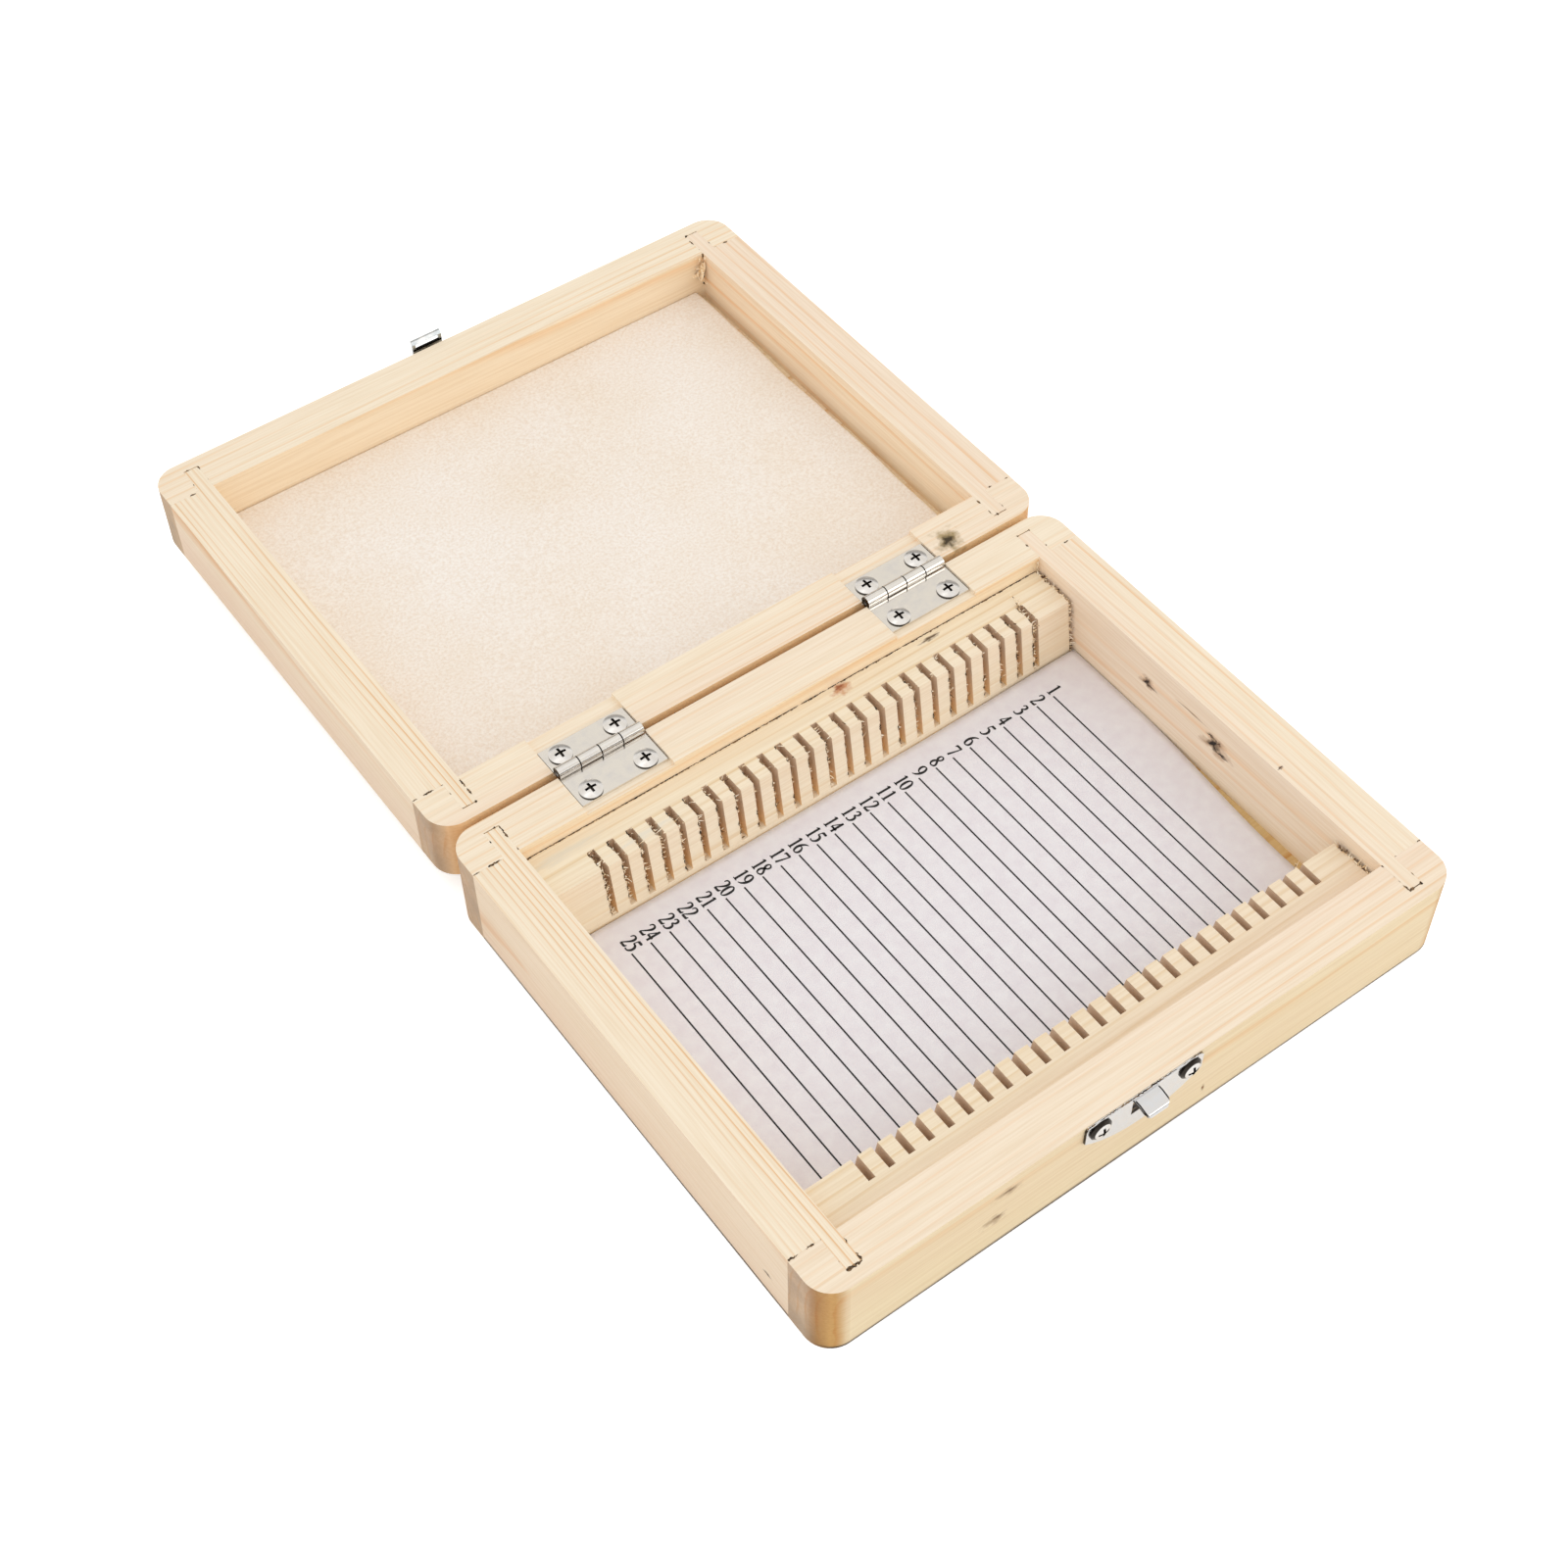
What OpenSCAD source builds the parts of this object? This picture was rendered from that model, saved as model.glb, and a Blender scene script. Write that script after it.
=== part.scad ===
// Hinged wooden storage box for glass microscope slides, standing open.
// The base tray stands on the ground and carries two slotted racks, and
// the lid tray is folded back level with it about two small butt hinges.
// Millimetres. Origin: centre of the base tray's underside. +Z is up,
// -Y is the front with the catch, +Y is the side of the hinges and lid.

/* [Slides and racks] */
// Length of the glass slides that the box is made for
slide_l = 76.2; // [60:0.1:100]
// Play between a slide and the ends of its two slots
slide_play = 1.8; // [0.5:0.1:4]
// Number of slots in each rack
slot_count = 25; // [18:1:50]
// Distance from one slot to the next
slot_pitch = 3.9; // [3:0.1:6]
// Width of a slot
slot_w = 1.3; // [1:0.05:2]
// Height of the slot floor above the foot of the rack
slot_sill = 1.3; // [0.5:0.1:3]
// Height of a rack
rack_h = 12.6; // [8:0.1:13]
// Wood left between the slot ends and the back of a rack
rack_web = 5; // [3:0.1:8]
// Depth of a rack at its top
rack_top_d = 9.6; // [8.5:0.1:12]
// Depth of a rack at its foot
rack_foot_d = 11.5; // [9:0.1:14]
// Wood before the first slot, at the right end of a rack
rack_lead = 7.9; // [4:0.1:15]
// Wood after the last slot, at the left end of a rack
rack_tail = 10.5; // [4:0.1:15]
// Gap between a rack and the left rail
rack_gap_left = 0.2; // [0.1:0.1:1]
// Gap between a rack and the right rail
rack_gap_right = 0.8; // [0.1:0.1:1.5]

/* [Trays] */
// Height of the base tray
base_h = 18; // [16:0.5:30]
// Height of the lid tray
lid_h = 13.7; // [11:0.1:24]
// Thickness of the rails
rail_t = 9; // [8:0.5:12]
// Radius of the four upright outer corners
corner_r = 5; // [2:0.5:6]
// Thickness of the thin panel let into the outside of each tray
panel_t = 2; // [1.5:0.1:3]
// Width of the rebate that the panel is glued into
rebate_w = 4; // [2:0.5:5]
// Thickness of the tongues at the ends of the side rails
tongue_t = 2.9; // [2:0.1:4]
// Length of those tongues
tongue_l = 6.3; // [4:0.1:6.5]
// Room left past the end of a tongue in its groove
tongue_gap = 0.2; // [0:0.05:0.5]
// Gap between the two trays while the box lies open
tray_gap = 1.5; // [1.2:0.1:3]

/* [Card and foam] */
// Thickness of the index card on the floor of the base
card_t = 0.4; // [0.2:0.05:0.8]
// Gap round the card
card_gap = 0.3; // [0.1:0.1:1]
// Thickness of the foam pad in the lid
foam_t = 2.8; // [1.5:0.1:5]
// Gap between the foam pad and three of the rails
foam_gap = 0.1; // [0.05:0.05:1]
// Gap between the foam pad and the right rail
foam_gap_right = 1.8; // [0.1:0.1:3]

/* [Hinges] */
// Distance from the left end of the box to the middle of the left hinge
left_hinge_inset = 31.6; // [20:0.1:40]
// Distance from the right end of the box to the middle of the right hinge
right_hinge_inset = 33; // [20:0.1:40]
// Length of a hinge
hinge_l = 17.5; // [12:0.5:24]
// Number of knuckles along a hinge
knuckle_count = 4; // [2:1:6]
// Gap between two knuckles
knuckle_gap = 0.1; // [0.05:0.05:0.3]
// Thickness of the sheet metal that the hinges are rolled from
leaf_t = 0.5; // [0.4:0.05:0.6]
// Radius of the hinge pins
hinge_pin_r = 0.6; // [0.5:0.05:0.7]
// Radial play of the pin in the turning knuckles
pin_play = 0.05; // [0.02:0.01:0.1]
// Reach of a base leaf from the hinge line
base_leaf_w = 8.1; // [6.5:0.1:8.2]
// Reach of a lid leaf from the hinge line
lid_leaf_w = 6.2; // [5.5:0.1:8.2]
// Distance from the hinge line to the screws of a base leaf
base_screw_y = 5.9; // [5:0.1:6]
// Distance from the hinge line to the screws of a lid leaf
lid_screw_y = 3.6; // [3.5:0.1:4]
// Distance between the two screws of a leaf
leaf_screw_dx = 11.3; // [7:0.1:13]
// Depth of the leaf's top below the rim
leaf_sink = 0.4; // [0.2:0.05:0.6]
// Gap between a leaf and the edges of its recess
recess_gap = 0.25; // [0.1:0.05:0.5]

/* [Catch] */
// Distance from the middle of the box to the middle of the catch
catch_x = -3.5; // [-10:0.5:10]
// Length of the catch plate and of the hasp plate
plate_l = 24.1; // [20:0.1:30]
// Height of both plates at their middle, down to the foot of the curve
plate_h = 8.1; // [6.5:0.1:9]
// Height of both plates at their ends
plate_end_h = 4.1; // [3.8:0.1:4.6]
// Thickness of both plates
plate_t = 0.5; // [0.4:0.05:0.6]
// Radius of the two square corners of both plates
plate_r = 0.8; // [0.3:0.1:1.5]
// Distance between the two screws of a plate
plate_screw_dx = 18.5; // [16:0.1:20]
// Distance of those screws from the straight edge of their plate
plate_screw_drop = 1.9; // [1.8:0.05:2.2]
// Depth of the catch plate's top edge below the rim
catch_drop = 0.15; // [0:0.05:0.5]
// Width of the tongue pressed out of the catch plate
catch_tongue_w = 5; // [4:0.1:5.2]
// Reach of that tongue from the face of the plate
catch_tongue_y = 3.4; // [2.5:0.1:4]
// Straight part of the tongue before it droops
catch_tongue_flat = 1.1; // [1:0.1:1.4]
// Droop of the tongue's outer part in degrees
catch_tongue_droop = 17; // [5:1:25]
// Height of the window left under the tongue
catch_window_h = 3.5; // [3:0.1:3.6]
// Width of the hasp
hasp_w = 6.6; // [6:0.1:8]
// Thickness of the sheet that the hasp is rolled from
hasp_t = 0.45; // [0.4:0.05:0.5]
// Radius of the hasp's pin
hasp_pin_r = 0.4; // [0.3:0.05:0.5]
// Distance from the hasp's pin to the rim of the lid
hasp_axis_drop = 2.4; // [2:0.1:3]
// Distance from the hasp's pin to the front face of the lid
hasp_axis_y = 0.95; // [0.9:0.05:1.2]
// Reach of the hasp past the rim of the lid
hasp_rise = 1.95; // [1.8:0.05:2.4]
// Near edge of the hasp's window, measured from the rim of the lid
hasp_window_near = 0.2; // [0.1:0.05:0.3]
// Far edge of the hasp's window, measured from the rim of the lid
hasp_window_far = 1.3; // [1.2:0.05:1.4]
// Play on each side of the tongue in the hasp's window
hasp_window_play = 0.15; // [0.1:0.05:0.3]

/* [Screws] */
// Radius of the screw heads
head_r = 2.15; // [1.8:0.05:2.2]
// Height of the heads on the hinges
hinge_head_h = 0.72; // [0.5:0.01:0.75]
// Height of the upright edge of those heads
hinge_head_edge = 0.3; // [0.1:0.05:0.35]
// Height of the heads on the catch plate and the hasp plate
plate_head_h = 1.1; // [0.6:0.05:1.4]
// Height of the upright edge of those heads
plate_head_edge = 0.3; // [0.1:0.05:0.5]
// Radius of the screw shanks
shank_r = 0.8; // [0.6:0.05:0.9]
// Length of the shanks under the hinge leaves
hinge_shank_l = 7; // [4:0.5:8]
// Length of the shanks behind the plates
plate_shank_l = 6.5; // [4:0.5:7]
// Radial play of a shank in the sheet metal
shank_play = 0.1; // [0.05:0.05:0.2]
// Width of the slots of the cross recess
cross_w = 0.5; // [0.3:0.05:0.6]
// Span of the cross recess
cross_l = 2.2; // [1.6:0.1:2.6]
// Depth of the cross recess
cross_d = 0.45; // [0.3:0.05:0.6]

/* [Hidden] */
$fn = 64;
e = 0.01;
rack_l = (slot_count - 1) * slot_pitch + rack_lead + rack_tail;
box_l = rack_l + rack_gap_left + rack_gap_right + 2 * rail_t;
box_w = slide_l + slide_play + 2 * (rack_web + rail_t);
half_l = box_l / 2;
half_w = box_w / 2;
inner_l = box_l - 2 * rail_t;
inner_w = box_w - 2 * rail_t;
rack_left = -inner_l / 2 + rack_gap_left;
first_slot_x = rack_left + rack_l - rack_lead;

hinge_y = half_w + tray_gap / 2;
lid_y = box_w + tray_gap;
lid_z = base_h - lid_h;
knuckle_r = hinge_pin_r + pin_play + leaf_t;
hinge_z = base_h - leaf_sink - leaf_t + knuckle_r;
leaf_z = base_h - leaf_sink - leaf_t;
left_hinge_x = -half_l + left_hinge_inset;
right_hinge_x = half_l - right_hinge_inset;

catch_plate_z = base_h - catch_drop;
catch_tongue_z = catch_plate_z - 0.7 * plate_t;
lid_front_y = lid_y + half_w;
hasp_axis_z = base_h - hasp_axis_drop;
hasp_eye_r = hasp_pin_r + pin_play + hasp_t;
hasp_eye_w = hasp_w / 2;
hasp_plate_z = hasp_axis_z - hasp_eye_r;

wood_side = "#E8CFA6";
wood_rim = "#F2E0C4";
wood_rack = "#EBCB9E";
panel_tan = "#D9B777";
card_grey = "#E3DEDF";
foam_cream = "#F1E3D3";
nickel = "#C9CBD1";

// ---------- wooden trays ----------

// Outline of a tray seen from above, with round corners.
module tray_outline() {
    translate([-half_l + corner_r, -half_w]) square([box_l - 2 * corner_r, box_w]);
    translate([-half_l, -half_w + corner_r]) square([box_l, box_w - 2 * corner_r]);
    for (x = [-half_l + corner_r, half_l - corner_r])
        for (y = [-half_w + corner_r, half_w - corner_r])
            translate([x, y]) circle(r = corner_r);
}

// Thin outer panel of a tray. As a cut it reaches a little below it.
module outer_panel(below = 0) {
    translate([-inner_l / 2 - rebate_w, -inner_w / 2 - rebate_w, -below])
        cube([inner_l + 2 * rebate_w, inner_w + 2 * rebate_w, panel_t + below]);
}

// Long rail at the front of a tray of height h: it runs the full length,
// has the round corners, and is grooved upright near both ends for the
// tongues of the side rails.
module long_rail(h) {
    difference() {
        linear_extrude(height = h)
            intersection() {
                tray_outline();
                translate([-half_l, -half_w]) square([box_l, rail_t]);
            }
        for (side = [-1, 1])
            tongue_groove(h, side);
        outer_panel(e);
    }
}

// Upright groove in the inner face of the front rail, at one side.
module tongue_groove(h, side) {
    groove_d = tongue_l + tongue_gap;
    groove_x = side * (half_l - rail_t + tongue_t / 2);
    translate([groove_x - tongue_t / 2, -half_w + rail_t - groove_d, -e])
        cube([tongue_t, groove_d + e, h + 2 * e]);
}

// Side rail of a tray of height h: it butts between the long rails, and a
// tongue flush with its inner face runs into the groove of each of them.
module side_rail(h, side) {
    body_x = side > 0 ? half_l - rail_t : -half_l;
    tongue_x = side > 0 ? half_l - rail_t : -half_l + rail_t - tongue_t;
    tongue_y = inner_w / 2 + tongue_l;
    difference() {
        union() {
            translate([body_x, -inner_w / 2, 0]) cube([rail_t, inner_w, h]);
            translate([tongue_x, -tongue_y, 0]) cube([tongue_t, 2 * tongue_y, h]);
        }
        outer_panel(e);
    }
}

// Everything of the lid is drawn where the lid lies folded open.
module at_lid() {
    translate([0, lid_y, lid_z]) children();
}

// Recess of one hinge leaf: a shallow trench milled right across the rim
// of a back rail. side is -1 for the base and 1 for the lid.
module leaf_recess(hinge_x, side) {
    reach = tray_gap / 2 + rail_t + e;
    translate([hinge_x - hinge_l / 2 - recess_gap, side > 0 ? hinge_y : hinge_y - reach, leaf_z])
        cube([hinge_l + 2 * recess_gap, reach, leaf_sink + leaf_t + e]);
}

// Pilot holes under the screws of both hinges, on one side of the line.
module hinge_pilot_holes(offset_y) {
    for (x = [left_hinge_x, right_hinge_x])
        for (dx = [-leaf_screw_dx / 2, leaf_screw_dx / 2])
            translate([x + dx, hinge_y + offset_y, leaf_z - hinge_shank_l])
                cylinder(h = hinge_shank_l + e, r = shank_r);
}

// Pilot holes behind the two screws of a plate on a front face.
module plate_pilot_holes(face_y, z, inward) {
    for (dx = [-plate_screw_dx / 2, plate_screw_dx / 2])
        translate([catch_x + dx, face_y, z])
            rotate([inward > 0 ? -90 : 90, 0, 0])
                translate([0, 0, -e])
                    cylinder(h = plate_shank_l - plate_t + e, r = shank_r);
}

module base_front_rail() {
    color(wood_side)
        difference() {
            long_rail(base_h);
            plate_pilot_holes(-half_w, catch_plate_z - plate_screw_drop, 1);
        }
}

module base_back_rail() {
    color(wood_side)
        difference() {
            mirror([0, 1, 0]) long_rail(base_h);
            for (x = [left_hinge_x, right_hinge_x])
                leaf_recess(x, -1);
            hinge_pilot_holes(-base_screw_y);
        }
}

module base_left_rail() {
    color(wood_side) side_rail(base_h, -1);
}

module base_right_rail() {
    color(wood_side) side_rail(base_h, 1);
}

module base_bottom_panel() {
    color(panel_tan) outer_panel();
}

module lid_back_rail() {
    color(wood_rim)
        difference() {
            at_lid() long_rail(lid_h);
            for (x = [left_hinge_x, right_hinge_x])
                leaf_recess(x, 1);
            hinge_pilot_holes(lid_screw_y);
        }
}

module lid_front_rail() {
    color(wood_rim)
        difference() {
            at_lid() mirror([0, 1, 0]) long_rail(lid_h);
            plate_pilot_holes(lid_front_y, hasp_plate_z - plate_screw_drop, -1);
        }
}

module lid_left_rail() {
    color(wood_rim) at_lid() side_rail(lid_h, -1);
}

module lid_right_rail() {
    color(wood_rim) at_lid() side_rail(lid_h, 1);
}

module lid_top_panel() {
    color(panel_tan) at_lid() outer_panel();
}

// ---------- slotted racks ----------

// Rack against the front rail. Its inner face leans, so that the rack is
// deeper at the foot, and upright saw cuts leave the slots for the glass.
module slide_rack() {
    difference() {
        translate([rack_left, -inner_w / 2, panel_t])
            rotate([90, 0, 90])
                linear_extrude(height = rack_l)
                    polygon([[0, 0], [rack_foot_d, 0], [rack_top_d, rack_h], [0, rack_h]]);
        for (i = [0 : slot_count - 1])
            translate([
                first_slot_x - i * slot_pitch - slot_w / 2,
                -inner_w / 2 + rack_web,
                panel_t + slot_sill
            ])
                cube([slot_w, rack_foot_d, rack_h]);
    }
}

module front_slide_rack() {
    color(wood_rack) slide_rack();
}

module back_slide_rack() {
    color(wood_rack) mirror([0, 1, 0]) slide_rack();
}

// ---------- card and foam ----------

module index_card() {
    card_l = inner_l - 2 * card_gap - rack_gap_right;
    card_w = inner_w - 2 * rack_foot_d - 2 * card_gap;
    color(card_grey)
        translate([-inner_l / 2 + card_gap, -card_w / 2, panel_t])
            cube([card_l, card_w, card_t]);
}

module lid_foam_pad() {
    color(foam_cream)
        at_lid()
            translate([-inner_l / 2 + foam_gap, -inner_w / 2 + foam_gap, panel_t])
                cube([inner_l - foam_gap - foam_gap_right, inner_w - 2 * foam_gap, foam_t]);
}

// ---------- hinges ----------

// One leaf: flat sheet with two screw holes, rolled into every second
// knuckle. side is -1 for the base and 1 for the lid, first is the first
// knuckle that belongs to it, and bore_r is the radius inside them.
module hinge_leaf(hinge_x, side, reach, screw_y, first, bore_r) {
    pitch = hinge_l / knuckle_count;
    flat_y = side > 0 ? knuckle_r : -reach;
    translate([hinge_x, hinge_y, 0])
        difference() {
            union() {
                translate([-hinge_l / 2, flat_y, leaf_z])
                    cube([hinge_l, reach - knuckle_r, leaf_t]);
                for (i = [first : 2 : knuckle_count - 1])
                    translate([-hinge_l / 2 + i * pitch + knuckle_gap / 2, 0, 0])
                        knuckle(pitch - knuckle_gap, side);
            }
            translate([-hinge_l / 2 - e, 0, hinge_z])
                rotate([0, 90, 0])
                    cylinder(h = hinge_l + 2 * e, r = bore_r);
            for (dx = [-leaf_screw_dx / 2, leaf_screw_dx / 2])
                translate([dx, side * screw_y, leaf_z - e])
                    cylinder(h = leaf_t + 2 * e, r = shank_r + shank_play);
        }
}

// A rolled knuckle and the strip that joins it to its flat sheet.
module knuckle(length, side) {
    translate([0, 0, hinge_z])
        rotate([0, 90, 0])
            cylinder(h = length, r = knuckle_r);
    translate([0, side > 0 ? 0 : -knuckle_r - e, leaf_z])
        cube([length, knuckle_r + e, leaf_t]);
}

// Pin, tight in the base knuckles and a little short of the rolled ends.
module hinge_pin(hinge_x) {
    pin_inset = 0.2;
    translate([hinge_x - hinge_l / 2 + pin_inset, hinge_y, hinge_z])
        rotate([0, 90, 0])
            cylinder(h = hinge_l - 2 * pin_inset, r = hinge_pin_r);
}

module left_hinge_base_leaf() {
    color(nickel)
        hinge_leaf(left_hinge_x, -1, base_leaf_w, base_screw_y, 0, hinge_pin_r);
}

module left_hinge_lid_leaf() {
    color(nickel)
        hinge_leaf(left_hinge_x, 1, lid_leaf_w, lid_screw_y, 1, hinge_pin_r + pin_play);
}

module left_hinge_pin() {
    color(nickel) hinge_pin(left_hinge_x);
}

module right_hinge_base_leaf() {
    color(nickel)
        hinge_leaf(right_hinge_x, -1, base_leaf_w, base_screw_y, 0, hinge_pin_r);
}

module right_hinge_lid_leaf() {
    color(nickel)
        hinge_leaf(right_hinge_x, 1, lid_leaf_w, lid_screw_y, 1, hinge_pin_r + pin_play);
}

module right_hinge_pin() {
    color(nickel) hinge_pin(right_hinge_x);
}

// ---------- screws ----------

// Domed cap of radius head_r: part of a ball that just covers the head.
module dome(dome_h) {
    ball_r = (head_r * head_r + dome_h * dome_h) / (2 * dome_h);
    intersection() {
        translate([0, 0, dome_h - ball_r]) sphere(r = ball_r);
        cylinder(h = dome_h + e, r = head_r);
    }
}

// Screw whose head rests on z = 0 with its shank going down: an upright
// edge, a dome with a cross recess, and a pointed shank.
module screw(head_h, edge_h, shank_l) {
    point_l = 2 * shank_r;
    difference() {
        union() {
            translate([0, 0, edge_h]) dome(head_h - edge_h);
            cylinder(h = edge_h, r = head_r);
        }
        for (turn = [0, 90])
            rotate([0, 0, turn])
                translate([-cross_l / 2, -cross_w / 2, head_h - cross_d])
                    cube([cross_l, cross_w, cross_d + e]);
    }
    translate([0, 0, -shank_l + point_l]) cylinder(h = shank_l - point_l + e, r = shank_r);
    translate([0, 0, -shank_l]) cylinder(h = point_l, r1 = shank_r / 8, r2 = shank_r);
}

module hinge_screws(offset_y) {
    for (x = [left_hinge_x, right_hinge_x])
        for (dx = [-leaf_screw_dx / 2, leaf_screw_dx / 2])
            translate([x + dx, hinge_y + offset_y, leaf_z + leaf_t])
                screw(hinge_head_h, hinge_head_edge, hinge_shank_l);
}

module base_hinge_screws() {
    color(nickel) hinge_screws(-base_screw_y);
}

module lid_hinge_screws() {
    color(nickel) hinge_screws(lid_screw_y);
}

// ---------- catch on the base ----------

// Flat plate lying on z = 0: a straight edge along the x axis, two round
// corners, two screw holes, and an opposite edge curved in one arc.
module plate_blank() {
    arc_rise = plate_h - plate_end_h;
    arc_r = (pow(plate_l / 2, 2) + pow(arc_rise, 2)) / (2 * arc_rise);
    linear_extrude(height = plate_t)
        difference() {
            intersection() {
                union() {
                    translate([-plate_l / 2, -plate_h]) square([plate_l, plate_h - plate_r]);
                    translate([-plate_l / 2 + plate_r, -plate_h]) square([plate_l - 2 * plate_r, plate_h]);
                    for (x = [-plate_l / 2 + plate_r, plate_l / 2 - plate_r])
                        translate([x, -plate_r]) circle(r = plate_r);
                }
                translate([0, arc_r - plate_h]) circle(r = arc_r);
            }
            for (dx = [-plate_screw_dx / 2, plate_screw_dx / 2])
                translate([dx, -plate_screw_drop]) circle(r = shank_r + shank_play);
        }
}

// Side view of the tongue: x is the reach from the plate's back, y is
// height, 0 at the tongue's top. It runs straight out, droops, and ends
// in a quarter turn.
module tongue_profile() {
    bend_x = plate_t + catch_tongue_flat;
    curl_in = 0.5 * plate_t;
    curl_out = curl_in + plate_t;
    curl_reach = curl_out * (1 - sin(catch_tongue_droop));
    slope_l = (catch_tongue_y - catch_tongue_flat - curl_reach) / cos(catch_tongue_droop);
    translate([0, -plate_t]) square([bend_x, plate_t]);
    translate([bend_x, 0])
        rotate(-catch_tongue_droop) {
            translate([0, -plate_t]) square([slope_l, plate_t]);
            translate([slope_l, -curl_out])
                intersection() {
                    difference() {
                        circle(r = curl_out);
                        circle(r = curl_in);
                    }
                    square(curl_out);
                }
        }
}

// Plan of the tongue, with the two outer corners rounded.
module tongue_plan() {
    tip_r = 1.2;
    reach = plate_t + catch_tongue_y;
    translate([-catch_tongue_w / 2, -reach + tip_r]) square([catch_tongue_w, reach - tip_r]);
    translate([-catch_tongue_w / 2 + tip_r, -reach]) square([catch_tongue_w - 2 * tip_r, tip_r + e]);
    for (x = [-catch_tongue_w / 2 + tip_r, catch_tongue_w / 2 - tip_r])
        translate([x, -reach + tip_r]) circle(r = tip_r);
}

module catch_plate() {
    window_w = catch_tongue_w + 2 * hasp_window_play;
    color(nickel)
        translate([catch_x, -half_w, 0]) {
            difference() {
                translate([0, 0, catch_plate_z])
                    rotate([90, 0, 0])
                        plate_blank();
                translate([
                    -window_w / 2,
                    -plate_t - e,
                    catch_tongue_z - plate_t - catch_window_h
                ])
                    cube([window_w, plate_t + 2 * e, catch_window_h]);
            }
            intersection() {
                translate([-catch_tongue_w / 2, 0, catch_tongue_z])
                    rotate([90, 0, 90])
                        mirror([1, 0, 0])
                            linear_extrude(height = catch_tongue_w) tongue_profile();
                translate([0, 0, catch_tongue_z - plate_h])
                    linear_extrude(height = 2 * plate_h) tongue_plan();
            }
        }
}

module plate_screws(z, turn) {
    for (dx = [-plate_screw_dx / 2, plate_screw_dx / 2])
        translate([dx, 0, z])
            rotate([turn, 0, 0])
                translate([0, 0, plate_t])
                    screw(plate_head_h, plate_head_edge, plate_shank_l);
}

module catch_screws() {
    color(nickel)
        translate([catch_x, -half_w, 0])
            plate_screws(catch_plate_z - plate_screw_drop, 90);
}

// ---------- hasp on the lid ----------

// Side view of an eye round the pin, x outward from the lid's face.
module eye_profile() {
    translate([hasp_axis_y, 0]) circle(r = hasp_eye_r);
}

// Turns a side view (x outward, y up) into a bar from x0 to x1 of the box.
module across(x0, x1) {
    translate([catch_x + x0, lid_front_y, hasp_axis_z])
        rotate([90, 0, 90])
            linear_extrude(height = x1 - x0) children();
}

// Plate screwed to the lid: two outer eyes carry the pin of the hasp.
module hasp_plate() {
    eye_gap = 0.1;
    color(nickel)
        difference() {
            union() {
                translate([catch_x, lid_front_y, hasp_plate_z])
                    rotate([90, 0, 180])
                        plate_blank();
                for (side = [-1, 1])
                    across(
                        side > 0 ? hasp_eye_w / 2 + eye_gap : -hasp_w / 2,
                        side > 0 ? hasp_w / 2 : -hasp_eye_w / 2 - eye_gap
                    ) {
                        eye_profile();
                        translate([0, -hasp_eye_r - e]) square([plate_t, hasp_eye_r + e]);
                    }
            }
            across(-hasp_w, hasp_w)
                translate([hasp_axis_y, 0]) circle(r = hasp_pin_r);
        }
}

module hasp_plate_screws() {
    color(nickel)
        translate([catch_x, lid_front_y, 0])
            plate_screws(hasp_plate_z - plate_screw_drop, -90);
}

// Hasp: a middle eye on the pin, a flap as wide as the whole hinge, a
// window for the tongue of the catch, and a free end that flares out.
module hasp() {
    shoulder = hasp_eye_r + 0.15;
    flap_x = hasp_axis_y - hasp_t / 2;
    flap_top = hasp_axis_drop + hasp_rise;
    flare_h = 0.6;
    window_w = catch_tongue_w + 2 * hasp_window_play;
    color(nickel)
        difference() {
            union() {
                across(-hasp_eye_w / 2, hasp_eye_w / 2) {
                    eye_profile();
                    translate([flap_x, 0]) square([hasp_t, shoulder + e]);
                }
                across(-hasp_w / 2, hasp_w / 2) {
                    translate([flap_x, shoulder]) square([hasp_t, flap_top - shoulder - flare_h]);
                    polygon([
                        [flap_x, flap_top - flare_h - e],
                        [flap_x + hasp_t, flap_top - flare_h - e],
                        [flap_x + 2 * hasp_t, flap_top],
                        [flap_x + hasp_t, flap_top]
                    ]);
                }
            }
            across(-hasp_w, hasp_w)
                translate([hasp_axis_y, 0]) circle(r = hasp_pin_r + pin_play);
            across(-window_w / 2, window_w / 2)
                translate([0, hasp_axis_drop + hasp_window_near])
                    square([2 * hasp_eye_r + hasp_axis_y, hasp_window_far - hasp_window_near]);
        }
}

module hasp_pin() {
    color(nickel)
        across(-hasp_w / 2 - 0.2, hasp_w / 2 + 0.2)
            translate([hasp_axis_y, 0]) circle(r = hasp_pin_r);
}

base_front_rail();
base_back_rail();
base_left_rail();
base_right_rail();
base_bottom_panel();
front_slide_rack();
back_slide_rack();
index_card();
lid_front_rail();
lid_back_rail();
lid_left_rail();
lid_right_rail();
lid_top_panel();
lid_foam_pad();
left_hinge_base_leaf();
left_hinge_lid_leaf();
left_hinge_pin();
right_hinge_base_leaf();
right_hinge_lid_leaf();
right_hinge_pin();
base_hinge_screws();
lid_hinge_screws();
catch_plate();
catch_screws();
hasp_plate();
hasp_plate_screws();
hasp();
hasp_pin();
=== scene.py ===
import math

import bpy
import numpy as np
from mathutils import Matrix, Vector


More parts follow.
